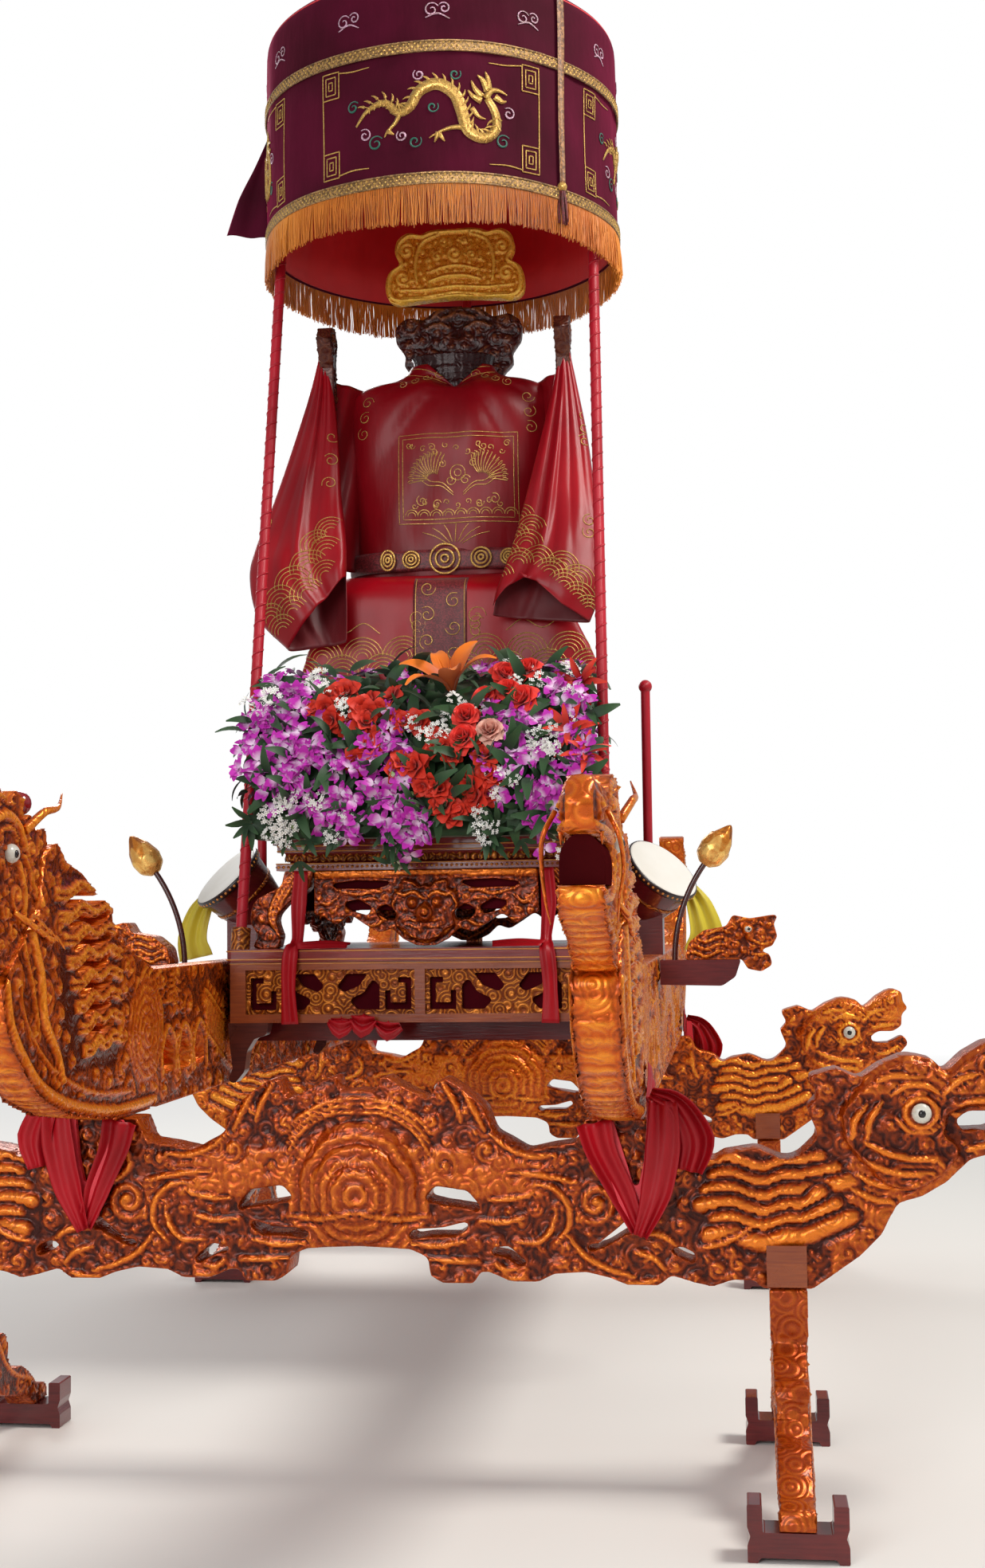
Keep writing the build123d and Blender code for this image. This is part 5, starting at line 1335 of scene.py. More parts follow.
def eye(label, centre, sizes, face_step, squash, cuts=(20, 12)):
    """A white eye and its pupil; the step leads from the one to the other."""
    white_name, pupil_name = label
    ball(white_name, centre, sizes[0], eye_white, "gold_leaf", squash[0], cuts[0])
    ball(pupil_name, np.array(centre) + face_step, sizes[1], pupil_black, "dark_lacquer", squash[1],
        cuts[1])


for beam_end, middle_y in (("front", -CROSS_Y), ("rear", CROSS_Y)):
    for side, name in SIDES:
        for face, face_name in ((-1, "fore"), (1, "aft")):
            label = "_%s_%s_%s" % (beam_end, name, face_name)
            eye(("cross_eye" + label, "cross_pupil" + label), (side * 977, middle_y + face * 67,
                CROSS_Z + 300), (17, 7), (0, face * 8, 0), ((1, 0.6, 1), (1, 0.6, 1)), (16, 12))
for side, name in SIDES:
    mid = side * BEAM_X
    head_piece = fine_copy("dragon_face_" + name, nodes["dragon_head_" + name].data, 0.0044)
    carve(head_piece, 0, height_of(head_board, 1, BEAM_Z), 8.0, 2.0)
    scute(head_piece, [(-1640, 268), (-1700, 296), (-1760, 322), (-1830, 344), (-1868, 366)], 30, 5.0, mid)
    co = corners_of(head_piece.data)[0] * 1000
    up = co[:, 2] - BEAM_Z
    snout = np.clip((-1760 - co[:, 1]) / 40, 0, 1) * np.clip((up - 440) / 20, 0, 1)
    narrow = np.sqrt(np.clip(1 - 0.72 * np.clip((-1815 - co[:, 1]) / 72, 0, 1) ** 2, 0.05,
        1)) * np.sqrt(np.clip(1 - 0.8 * np.clip((up - 500) / 42, 0, 1) ** 2, 0.05, 1))
    co[:, 0] = mid + (co[:, 0] - mid) * (1 - snout + snout * narrow)
    lift = np.clip(1 - np.abs(co[:, 1] + 1850) / 60, 0, 1) * np.clip((up - 490) / 40, 0, 1)
    co[:, 2] += lift * 8 * np.clip(1 - ((co[:, 0] - mid) / 30) ** 2, 0, 1)
    move_corners(head_piece.data, co / 1000)
    thinned(head_piece, 0.45, orange_gilt, "gilt_carving", "dragon_head_" + name)
    ball("dragon_knob_" + name, (mid, -1496, BEAM_Z + 546), 20, glass_red, "red_lacquer")
    roof = [(31 * cos(a), 428 + 40 * sin(a)) for a in np.linspace(0, pi, 13)]
    rim = [(31, 398)] + roof + [(-31, 398)]
    verts = [(mid + x, y, BEAM_Z + z) for y in (-1852, -1700) for x, z in rim]
    count = len(rim)
    faces = [tuple(range(count - 1, -1, -1)), tuple(range(count, 2 * count))]
    faces += [(k, (k + 1) % count, count + (k + 1) % count, count + k) for k in range(count)]
    finished(made("dragon_throat_" + name, np.array(verts) / 1000, faces, smooth=False), mouth_red,
        "red_lacquer")
    rows = []
    for face in (-1, 1):
        x = mid + face * 36
        label = "_%s_%s" % (name, "out" if face == side else "in")
        eye(("dragon_eye" + label, "dragon_pupil" + label), (x - face * 4, -1606, BEAM_Z + 462), (17, 6.5),
            (face * 10, -5, -1), ((0.7, 1.15, 0.9), (0.5, 1, 1)))
        locks = [(((0, -1560, 500), (16, -1520, 530), (18, -1466, 540), (8, -1420, 566)), (18, 15, 10, 3),
            0.8), (((0, -1846, 498), (16, -1860, 462), (20, -1836, 420), (14, -1850, 376),
            (10, -1826, 344)), (9, 8, 7, 5, 2), 0.9)]
        locks += [(((-2, -1600 + 34 * k, 372 - 8 * k), (10, -1572 + 34 * k, 356 - 10 * k),
            (6, -1540 + 34 * k, 366 - 12 * k), (12, -1506 + 30 * k, 346 - 12 * k)), (10, 12, 8, 3), 0.7)
            for k in range(4)]
        locks += [(((-8, -1852 + 32 * k, 470), (-8, -1849 + 32 * k, 452 + (k > 0) * 6)), (9, 2), 0.9)
            for k in range(5)]
        rows += [([(x + face * a, y, BEAM_Z + z) for a, y, z in line], wide, thick, (face, 0, 0)) for line,
            wide, thick in locks]
    strands("dragon_locks_" + name, rows, orange_gilt, "gilt_carving", 8, 5.0)


# Flowers: a bank of cut blooms and leaves, pushed by their stems into a block of green foam in
# front of the throne.  Every bloom is a few curved petals marked from centre to tip.
def petal_finish(name, inner, outer, rough=0.5, split=0.45, vary=0.25):
    node, wear = new_finish(name)
    place = node("TexCoord", out="Object")
    tip = node("Attribute", out="Fac", attribute_name="tip")
    shift = node("Math", {0: noise_at(node, place, 26.0, 3.0), 1: vary, 2: tip}, operation="MULTIPLY_ADD")
    share = spread_out(node, shift, split - 0.15 + vary / 2, split + 0.3 + vary / 2)
    veins = noise_at(node, place, 420.0, 2.0)
    return wear(Base_Color=blend(node, share, inner, outer), Roughness=rough, Specular_IOR_Level=0.3,
        Sheen_Weight=0.15, Normal=node("Bump", {"Height": veins, "Strength": 0.4, "Distance": 0.0008}))


def bloom(name, layers, nu=3, nv=5):
    """Layers of petals: count, length, width, rise at the tip, back curl, cup, first angle, root radius."""
    verts, faces, tips = [], [], []
    for count, length, width, rise, curl_back, cup, first_angle, root in layers:
        for p in range(count):
            angle = first_angle + tau * p / count
            c, s = cos(angle), sin(angle)
            start = len(verts)
            for j in range(nv + 1):
                t = j / nv
                wide = width * (0.16 + 0.84 * sin(pi * min(1, t ** 0.8 * 0.93 + 0.05))) / 2
                out = root + length * t
                up = rise * t ** 0.7 - curl_back * t ** 3
                for i in range(nu + 1):
                    a = 2 * i / nu - 1
                    across, high = a * wide, up + cup * wide * a * a
                    verts.append((out * c - across * s, out * s + across * c, high))
                    tips.append(t)
            for j in range(nv):
                for i in range(nu):
                    k = start + j * (nu + 1) + i
                    faces.append((k, k + 1, k + nu + 2, k + nu + 1))
    return pattern_piece(name, verts, faces, tips)


bank_tree = tree_of(nodes["flower_bank"])


def aimed(direction, spin, lean, rng):
    """Turn that points a bloom's axis along a direction, loosely."""
    d = np.array(direction) + rng.normal(0, lean, 3)
    q = Vector(d).to_track_quat("Z", "Y") @ Euler((0, 0, spin)).to_quaternion()
    return tuple(q.to_euler())


def planted(name, spots, shape, finish, seed, lean=0.3, lift=8.0, sizes=(0.85, 1.15), uneven=0.05,
        toward=(0.05, -0.7, 0.25)):
    """Blooms at x, z spots of the bank's front."""
    rng = np.random.default_rng(seed)
    places, turns, grown = [], [], []
    for x, z in spots:
        hit, normal = cast(bank_tree, (x, -1200, z), (0, 1, 0))
        if hit is None:
            continue
        out = np.array(normal if normal.y < 0 else -normal)
        way = out * 0.8 + np.array(toward)
        places.append(np.array(hit) * 1000 + out * lift * (0.4 + 0.9 * rng.random()))
        turns.append(aimed(way / np.linalg.norm(way), rng.random() * 6.28, lean, rng))
        grown.append(sizes[0] + (sizes[1] - sizes[0]) * rng.random())
    repeated(name, places, turns, grown, shape, finish, "flowers", uneven, seed)


leaf_dark = petal_finish("leaf_dark", (0.01, 0.034, 0.01), (0.024, 0.07, 0.02), 0.5)
orchid_pink = petal_finish("orchid_pink", (0.82, 0.62, 0.8), (0.5, 0.018, 0.4), 0.45, 0.28, 0.4)
rose_red = petal_finish("rose_red", (0.42, 0.006, 0.006), (0.88, 0.05, 0.034), 0.5, 0.3)
rose_pink = petal_finish("rose_pink", (0.7, 0.22, 0.16), (0.85, 0.48, 0.38), 0.5, 0.4)
lily_orange = petal_finish("lily_orange", (0.5, 0.075, 0.004), (0.82, 0.19, 0.01), 0.42, 0.3)
red_petal = petal_finish("red_petal", (0.4, 0.01, 0.004), (0.66, 0.03, 0.01), 0.5, 0.4)
white_petal = petal_finish("white_petal", (0.62, 0.62, 0.46), (0.86, 0.85, 0.82), 0.6, 0.2)
bud_green = petal_finish("bud_green", (0.2, 0.3, 0.1), (0.72, 0.76, 0.56), 0.5, 0.4)
orchid = bloom("orchid_bloom", [(3, 27, 13, 6, 5, 0.15, 0.52, 2), (2, 29, 23, 5, 4, 0.12, 0.0, 2),
    (1, 15, 12, 10, -4, -0.5, -1.57, 1)], 2, 4)
rose = bloom("rose_bloom", [(3, 4, 22, 30, -2, 0.7, 0.2, 3), (3, 8, 30, 31, 0, 0.6, 1.0, 4),
    (4, 14, 36, 30, 2, 0.5, 0.4, 4), (5, 21, 40, 27, 7, 0.42, 0.9, 5), (5, 29, 42, 22, 13, 0.36, 0.3, 5),
    (5, 34, 40, 14, 14, 0.3, 0.8, 5)], 4, 5)
lily = bloom("lily_bloom", [(3, 98, 34, 88, 36, 0.35, 0.1, 4), (3, 88, 46, 92, 26, 0.35, 1.15, 4),
    (6, 20, 3, 72, 0, 0.1, 0.6, 2)], 4, 8)
soft = bloom("soft_bloom", [(5, 26, 26, 10, 6, 0.3, 0.0, 2), (5, 18, 20, 16, 3, 0.4, 0.6, 2),
    (4, 9, 12, 16, 0, 0.5, 0.2, 1)], 2, 4)
star = bloom("star_bloom", [(6, 62, 17, 18, 12, 0.25, 0.0, 2), (4, 44, 13, 34, 6, 0.3, 0.5, 2)], 2, 6)
leaf = bloom("leaf", [(1, 84, 26, 14, 22, 0.2, 0.0, 2)], 2, 6)
spray_leaf = bloom("spray_leaf", [(1, 46, 13, 10, 8, 0.2, 0.0, 2), (1, 40, 12, 8, 6, 0.2, 0.9, 2),
    (1, 38, 12, 8, 6, 0.2, -0.9, 2)], 2, 4)
puff_rng = np.random.default_rng(5)
puff_v, puff_f, puff_t = [], [], []
for k in range(26):
    a, b = puff_rng.random() * 6.28, acos(1 - 0.9 * puff_rng.random())
    centre = np.array((sin(b) * cos(a), sin(b) * sin(a), cos(b))) * (14 + 7 * puff_rng.random())
    for p in range(4):
        c, s = cos(p * 1.571 + a), sin(p * 1.571 + a)
        start = len(puff_v)
        for q, w in ((0, 0), (2.6, 1.7), (4.6, 0), (2.6, -1.7)):
            puff_v.append(centre + np.array((q * c - w * s, q * s + w * c, 0.8 * q / 4)))
            puff_t.append(min(1, q / 4))
        puff_f.append((start, start + 1, start + 2, start + 3))
puff = pattern_piece("white_puff", puff_v, puff_f, puff_t)
bud_v, bud_f, bud_t = [], [], []
for k in range(6):
    cx, cz = 15 * sin(k * 0.5), -17 * k
    r = 7.5 - 0.5 * k
    start = len(bud_v)
    for j, (h, w) in enumerate(((0, 0.15), (3, 0.8), (8, 1.0), (13, 0.6), (16, 0.1))):
        for q in range(5):
            a = q * 1.2566
            bud_v.append((cx + r * w * cos(a) + (8 if k % 2 else -8), r * w * sin(a) + 4, cz - h))
            bud_t.append(j / 4)
    for j in range(4):
        for q in range(5):
            bud_f.append((start + 5 * j + q, start + 5 * j + (q + 1) % 5, start + 5 * j + 5 + (q + 1) % 5,
                start + 5 * j + 5 + q))
bud_chain = pattern_piece("bud_chain", bud_v, bud_f, bud_t)
bank_core = fine_copy("flower_foam", nodes["flower_bank"].data, 0.018)
co, no = corners_of(bank_core.data)
lump = np.array([noise.noise(Vector(p) * 14) + 0.6 * noise.noise(Vector(p) * 33) for p in co])
co += no * (-0.026 + 0.016 * lump)[:, None]
co[:, 2] = np.maximum(co[:, 2], np.where(co[:, 1] > -0.356, 1.1846, 1.166))
move_corners(bank_core.data, co)
marked(bank_core.data, "tip", 0.5 + 0.5 * lump)
finished(bank_core, leaf_dark, "flowers", ["flower_bank"])
pick = np.random.default_rng(77)


def spread_spots(centres, count, du, dv):
    return [(x + pick.normal(0, du), z + pick.normal(0, dv)) for x, z in centres for _ in range(count)]


ORCHIDS = [(-276, 1453), (-295, 1401), (-235, 1343), (-265, 1288), (-185, 1328), (-58, 1402), (-49, 1353),
    (209, 1416), (257, 1366), (318, 1466), (352, 1440), (348, 1315), (362, 1262), (258, 1237), (291, 1196),
    (-40, 1216), (-6, 1188), (-184, 1219), (-132, 1218), (243, 1285), (-116, 1328), (-330, 1360),
    (-352, 1300), (-320, 1470), (356, 1380), (-20, 1260), (200, 1330), (-240, 1240)]
planted("orchids", spread_spots(ORCHIDS, 10, 30, 26), orchid, orchid_pink, 3, 0.45, 16)
planted("red_roses", [(183, 1500), (237, 1512), (234, 1441), (150, 1452), (113, 1412), (112, 1363),
    (196, 1462)], rose, rose_red, 4, 0.15, 14, (0.85, 1.05))
planted("pink_rose", [(166, 1375)], rose, rose_pink, 5, 0.1, 16, (0.9, 0.92))
planted("lilies", [(72, 1478)], lily, lily_orange, 6, 0.05, 6, (1.14, 1.16), 0.0, (-0.1, -0.5, 1.3))
planted("red_blooms", spread_spots([(-174, 1466), (-106, 1448), (5, 1308), (124, 1305), (-117, 1346),
    (40, 1265), (141, 1246), (72, 1214), (-150, 1400), (0, 1430), (60, 1340)], 4, 24, 20), soft, red_petal,
    7, 0.35, 10, (0.9, 1.4))
planted("red_stars", [(352, 1490), (366, 1330), (330, 1380)], star, red_petal, 8, 0.2, 12, (0.9, 1.1))
planted("white_fillers", spread_spots([(285, 1324), (179, 1278), (-164, 1433), (32, 1386), (-324, 1490),
    (300, 1492), (-296, 1238), (-271, 1187), (340, 1180), (139, 1182), (316, 1405), (-167, 1185),
    (-352, 1440), (220, 1500), (-210, 1500), (80, 1440)], 4, 22, 20), puff, white_petal, 9, 0.3, 14,
    (0.8, 1.25))
planted("bud_sprays", [(-32, 1297), (2, 1255), (70, 1385), (326, 1190), (-31, 1190), (-250, 1200),
    (300, 1240)], bud_chain, bud_green, 10, 0.1, 18, (0.9, 1.2), 0.0, (0, -0.2, 1.6))
planted("bank_leaves", [(pick.uniform(-372, 372), pick.uniform(1196, 1530)) for _ in range(380)], leaf,
    leaf_dark, 11, 0.6, 4, (0.55, 1.05))
planted("tall_leaves", [(0, 1520), (-60, 1516), (-30, 1522), (-110, 1500), (110, 1520), (-180, 1510),
    (280, 1512)], leaf, leaf_dark, 12, 0.35, 6, (1.0, 1.3), 0.1, (0, 0.1, 1.4))
planted("hanging_green", spread_spots([(150, 1206), (159, 1176), (-32, 1146), (-247, 1160), (-60, 1186),
    (300, 1176), (60, 1200), (-330, 1196), (-160, 1190), (220, 1190)], 6, 24, 16), spray_leaf, leaf_dark,
    13, 0.5, 8, (0.8, 1.3))


def scattered(label, starts, ray, shift, way, sizes, shape, finish, seed, rng):
    """Blooms where rays from some places meet the top or the sides of the bank."""
    places, turns, grown = [], [], []
    for start in starts:
        side = copysign(1, start[0])
        hit, _ = cast(bank_tree, start, (side * ray[0], ray[1], ray[2]))
        if hit is not None:
            places.append(np.array(hit) * 1000 + (side * shift[0], shift[1], shift[2]))
            turns.append(aimed((side * way[0], way[1], way[2]), rng.random() * 6.28, 0.35, rng))
            grown.append(sizes[0] + sizes[1] * rng.random())
    repeated(label, places, turns, grown, shape, finish, "flowers", 0.05, seed)


back_rng = np.random.default_rng(90)
top_spots = [(back_rng.uniform(-370, 370), back_rng.uniform(-300, -70), 2000) for _ in range(150)]
for label, part_of, shape, finish, seed in (("top_orchids", top_spots[:60], orchid, orchid_pink, 41),
        ("top_leaves", top_spots[60:], leaf, leaf_dark, 42)):
    scattered(label, part_of, (0, 0, -1), (0, 0, 2), (0, -0.3, 1), (0.7, 0.4), shape, finish, seed,
        back_rng)
side_rng = np.random.default_rng(91)
for label, count, shape, finish, seed in (("side_orchids", 70, orchid, orchid_pink, 43),
        ("side_leaves", 130, leaf, leaf_dark, 44)):
    side_starts = ((-900 if k % 2 else 900, side_rng.uniform(-480, -70), side_rng.uniform(1190, 1510))
        for k in range(count))
    scattered(label, side_starts, (-1, 0, 0), (-6, 0, 0), (1, -0.2, 0.5), (0.5, 0.35), shape, finish, seed,
        side_rng)


# Table: carved corner legs, aprons with a beast mask between curling flames, a band of gilt
# leaves in the waist of the moulded top and thin gilt lines on its edges.
TOP_Z = 1100.0
apron_board = board_of(640, 190, (-320, -176))


for points, width in (([(4, -64), (24, -50), (48, -56), (66, -46)], 10), ([(14, -38), (28, -30), (48, -26)],
        8), ([(0, -108), (20, -112), (40, -104)], 8), ([(0, -122), (22, -126), (42, -118)], 7),
        ([(0, -84), (8, -92), (14, -102)], 7), ([(60, -58), (72, -80), (60, -98)], 8),
        ([(60, -122), (46, -136), (22, -150), (0, -160)], 9),
        ([(76, -60), (110, -46), (150, -54), (196, -44)], 9),
        ([(76, -84), (104, -118), (140, -122), (168, -104)], 9), ([(86, -74), (120, -62), (150, -70)], 7),
        ([(196, -58), (216, -74), (240, -68)], 8), ([(150, -132), (176, -112), (206, -110)], 8),
        ([(100, -140), (120, -130), (150, -138)], 7), ([(60, -18), (150, -14), (300, -18)], 7),
        ([(90, -44), (150, -42), (214, -38)], 6)):
    ridges(apron_board, [[(sign * u, v) for u, v in points] for sign in (-1, 1)], width, taper=0.5)
for u, v, r in ((27, -74, 12), (92, -62, 13), (120, -92, 13), (172, -88, 14), (206, -92, 13),
        (232, -92, 11), (74, -128, 11), (196, -126, 10), (236, -62, 9), (44, -88, 9), (110, -152, 8)):
    scroll(apron_board, u, v, r, 1.5, 1)
    scroll(apron_board, -u, v, r, 1.5, -1, pi)
scroll(apron_board, 0, -94, 13, 1.2)
for k in range(-3, 4):
    ridge(apron_board, [(k * 9, -111), (k * 9, -119)], 6, 1.1)
upper_band = apron_board.v > -13
apron_board.h[upper_band] = 0.86
apron_board.taken[upper_band] = 1
fill(apron_board, 51, 5, 11, 0.75)


def side_apron(p):
    return read(apron_board, p[:, 1] * 248 / 296, p[:, 2] - TOP_Z)


front_apron = height_of(apron_board, 0, TOP_Z)
for name, node_name, axis, reading in (("mask_apron_front", "apron_front", 1, front_apron),
        ("mask_apron_rear", "apron_rear", 1, front_apron), ("side_aprons", "aprons_side", 0, side_apron)):
    carved(name, node_name, 0.0034, axis, reading, (5.0, 1.5), 0.4, amber_gilt)
leg_board = board_of(190, 190, (240, 922))
for k in range(3):
    ridge(leg_board, [(268 + 10 * k, 1098), (300 + 12 * k, 1060), (330 + 8 * k, 1000), (300 + 10 * k, 950)],
        9)
fill(leg_board, 52, 7, 16, 0.85, 1500)
carved("carved_legs", "table_legs", 0.0042, 1, height_of(leg_board, 0, 0, True), (5.0, 1.5), 0.5,
    amber_gilt)
leaf_boss = pattern_piece("leaf_boss", [(0, -2.5, 9), (7, -1, 4), (7, -1, -5), (0, -4, -9), (-7, -1, -5),
    (-7, -1, 4), (0, -5.5, -1)], [(0, 1, 6), (1, 2, 6), (2, 3, 6), (3, 4, 6), (4, 5, 6), (5, 0, 6)])
round_boss = pattern_piece("round_boss", [(4 * cos(a), -0.5 * (a < 9), 4 * sin(a))
    for a in np.arange(6) * pi / 3] + [(0, -3.5, 0)], [(k, (k + 1) % 6, 6) for k in range(6)])


def round_table(half_x, half_y, z, pitch, lift=0.0):
    """Places and turns along the four edges of the table."""
    places, turns = [], []
    for half, off, angles in ((half_x, half_y, (0, pi)), (half_y, half_x, (pi / 2, -pi / 2))):
        count = int(2 * half / pitch)
        for k in range(count):
            a = -half + (k + 0.5) * 2 * half / count
            for turn in angles:
                out = np.array((sin(turn), -cos(turn), 0))
                sideways = np.array((cos(turn), sin(turn), 0))
                places.append(out * (off + lift) + sideways * a + (0, 0, z))
                turns.append((0, 0, turn))
    return places, turns


repeated("waist_leaves", *round_table(312, 332, 1128, 15), 1.0, leaf_boss, flat_gilt, "gilt_carving", 0.03,
    61)
repeated("edge_bosses", *round_table(330, 350, 1108, 11, 0.2), 0.9, round_boss, flat_gilt, "gilt_carving",
    0.03, 62)
gilt_line = lacquer("gilt_line", (0.62, 0.22, 0.035), (0.8, 0.34, 0.06), 0.25)


def border(half_x, half_y, z, wide=3):
    """Four thin lines round a board."""
    corners = [(half_x, -half_y), (half_x, half_y), (-half_x, half_y), (-half_x, -half_y)]
    rows = []
    for (x0, y0), (x1, y1) in zip(corners, corners[1:] + corners[:1]):
        out = (copysign(1, x0), 0, 0) if x0 == x1 else (0, copysign(1, y0), 0)
        rows.append(([(x0, y0, z), (x1, y1, z)], (wide, wide), 0.5, out))
    return rows


rows = []
for edge in ((336.4, 356.4, 1172), (328.4, 348.4, 1154), (328.4, 348.4, 1143), (330.4, 350.4, 1115),
        (421.2, 430.2, 926), (421.2, 430.2, 908), (415.4, 424.4, 899, 2.5)):
    rows += border(*edge)
strands("edge_lines", rows, gilt_line, "gold_leaf", 4)

# Side bar heads: small dragon heads with combed manes, each carved from one block, gilded and
# pegged on the end of a side bar.
side_board = board_of(260, 130, (540, 880))
for k in range(5):
    ridge(side_board, [(556, 908 + 15 * k), (584, 914 + 15 * k), (606, 904 + 16 * k), (636, 916 + 15 * k),
        (662, 908 + 15 * k)], 8)
for u, v, r, turn in ((696, 962, 13, 1), (726, 944, 11, -1), (740, 970, 9, 1), (672, 930, 11, 1),
        (706, 926, 10, -1), (664, 972, 10, -1)):
    scroll(side_board, u, v, r, 1.5, turn)
ridges(side_board, ([(668, 976), (694, 984), (722, 976)], [(700, 940), (730, 930), (756, 940)],
    [(690, 912), (724, 908), (752, 920)]), 8)
fill(side_board, 53, 6, 12, 0.8, 1200)
carved("bar_dragons", "side_bar_heads", 0.0036, 1, height_of(side_board, 0, 0, True), (6.0, 1.5), 0.5,
    orange_gilt)
for side, name in SIDES:
    for face, face_name in ((-1, "front"), (1, "rear")):
        label = "_%s_%s" % (name, face_name)
        eye(("bar_eye" + label, "bar_pupil" + label), (side * 696, -344 + face * 39, 962), (8, 3.4),
            (side * 2, face * 5, 0), ((1, 0.7, 0.9), (1, 0.6, 1)), (14, 10))

# Lotus buds: carved wooden buds whose pointed petals lap over each other, gilded all over and
# set on the tips of curved stems.
def round_axis(way, beside):
    """Two directions across a way, the first square to another direction too."""
    u = np.cross(way, beside)
    u /= np.linalg.norm(u)
    return u, np.cross(way, u)


buds = fine_copy("gilded_buds", nodes["lotus_buds"].data, 0.0022)
co, no = corners_of(buds.data)
co *= 1000
marks = np.zeros(len(co))
for side in (-1, 1):
    mine = np.where(co[:, 0] * side > 0)[0]
    part_co = co[mine]
    foot = part_co[part_co[:, 2].argmin()]
    tip = part_co[part_co[:, 2].argmax()]
    way = (tip - foot) / np.linalg.norm(tip - foot)
    rise = ((part_co - foot) @ way) / np.linalg.norm(tip - foot)
    flat_u, flat_v = round_axis(way, (0, 1, 0))
    angle = np.arctan2((part_co - foot) @ flat_v, (part_co - foot) @ flat_u)
    height = np.zeros(len(mine))
    for first_angle, top in ((0.0, 1.0), (0.63, 0.72), (0.2, 0.42)):
        share = np.abs(((angle - first_angle) / (tau / 5)) % 1.0 - 0.5) * 2
        edge = np.sqrt(np.clip(1 - (rise / top) ** 2, 0, 1)) * 0.98
        petal = np.clip((edge - share) * 7, 0, 1) * (rise < top)
        height = np.where(petal > 0, 0.35 * (top < 0.9) + 0.35 * (top < 0.5) + 0.3 * petal, height)
    co[mine] += no[mine] * (2.6 * (height - 0.5))[:, None]
    # The mark is darker between petals and lighter on the inner layers: painted shade and highlight through
    # the gilt.
    marks[mine] = 0.25 + 0.75 * height
move_corners(buds.data, co / 1000)
marked(buds.data, "cut", marks)
# Gilt for the buds, painting shade and highlight from the petal marks.
bud_gold = gilt("bud_gold", (0.16, 0.03, 0.004), (0.62, 0.2, 0.02), (0.95, 0.58, 0.16), 22.0, 0.1, 0.55)
thinned(buds, 0.42, bud_gold, "gold_leaf", "lotus_buds")

# Hand drums: dark red turned shells with a gilt belt, and pale skins stretched over black hoops
# and held by a ring of nails.  They lie in cradles on the side bars.
drum_skin = cloth_finish("drum_skin", (0.78, 0.74, 0.66), (0.9, 0.88, 0.83), 0.5, 300, 0.0, 0.1, 0.15)
hoop_black = lacquer("hoop_black", (0.01, 0.006, 0.008), (0.03, 0.014, 0.016), 0.2)
shell_red = lacquer("shell_red", (0.075, 0.006, 0.008), (0.13, 0.01, 0.012), 0.15)


def lathed(name, rows, centre, way, finish, slot, stands_for):
    """A turned shape: distance along its axis and radius, from a centre."""
    u, v = round_axis(way, (0.0, 1.0, 0.2))
    cut = 64
    verts = [(centre + way * t + (u * cos(a) + v * sin(a)) * r) / 1000 for t, r in rows
        for a in (tau * k / cut for k in range(cut))]
    faces = [(j + k, j + (k + 1) % cut, j + cut + (k + 1) % cut, j + cut + k)
        for j in range(0, len(verts) - cut, cut) for k in range(cut)]
    faces += [tuple(reversed(range(cut))), tuple((len(rows) - 1) * cut + k for k in range(cut))]
    piece = made(name, verts, faces)
    facing_out(piece.data)
    return finished(piece, finish, slot, stands_for)


for side, name in SIDES:
    spot, way = np.array((side * 510.0, -110.0, 1098.0)), np.array((side * 0.58, -0.43, 0.69))
    way /= np.linalg.norm(way)
    for label, rows, finish, slot, stands_for in (("drum_shell_", [(-117.5, 8), (-118, 60), (-117, 65.5),
            (-112, 67.5), (-80, 74.6), (-76, 75.5), (-48, 80.6), (-18, 86.5), (-14, 87)], shell_red,
            "dark_lacquer", ["hand_drums"]), ("drum_hoop_", [(-16, 86), (-15.5, 91.5), (-13, 92.6),
            (-3, 92.6), (-1, 91.6), (0, 88.5)], hoop_black, "dark_lacquer", ()),
            ("drum_belt_", [(-66, 77), (-65, 79.8), (-58, 81.2), (-57, 79)], flat_gilt, "gold_leaf", ()),
            ("drum_face_", [(-2, 89), (0.4, 88.4), (1.4, 84), (1.8, 60), (2.0, 20), (2.0, 1)], drum_skin,
            "gold_leaf", ())):
        lathed(label + name, rows, spot, way, finish, slot, stands_for)
    u, v = round_axis(way, (0.0, 1.0, 0.2))
    places, turns = [], []
    for k in range(44):
        a = tau * k / 44
        out = u * cos(a) + v * sin(a)
        places.append(spot + way * -8 + out * 92.4)
        turns.append(tuple(Vector(-out).to_track_quat("Y", "Z").to_euler()))
    repeated("drum_nails_" + name, places, turns, 0.8, round_boss, gilt_line, "gold_leaf", 0.0, 70)

# Red cloth: strips tied round the beams where they cross, long strips in front of the table, and
# knots under the tier.  Each is a folded sheet laid along a drawn line.
tie_red = cloth_finish("tie_red", (0.28, 0.002, 0.006), (0.44, 0.004, 0.012), 0.42, 1100, 0.0, 0.1, 0.3,
    0.3)


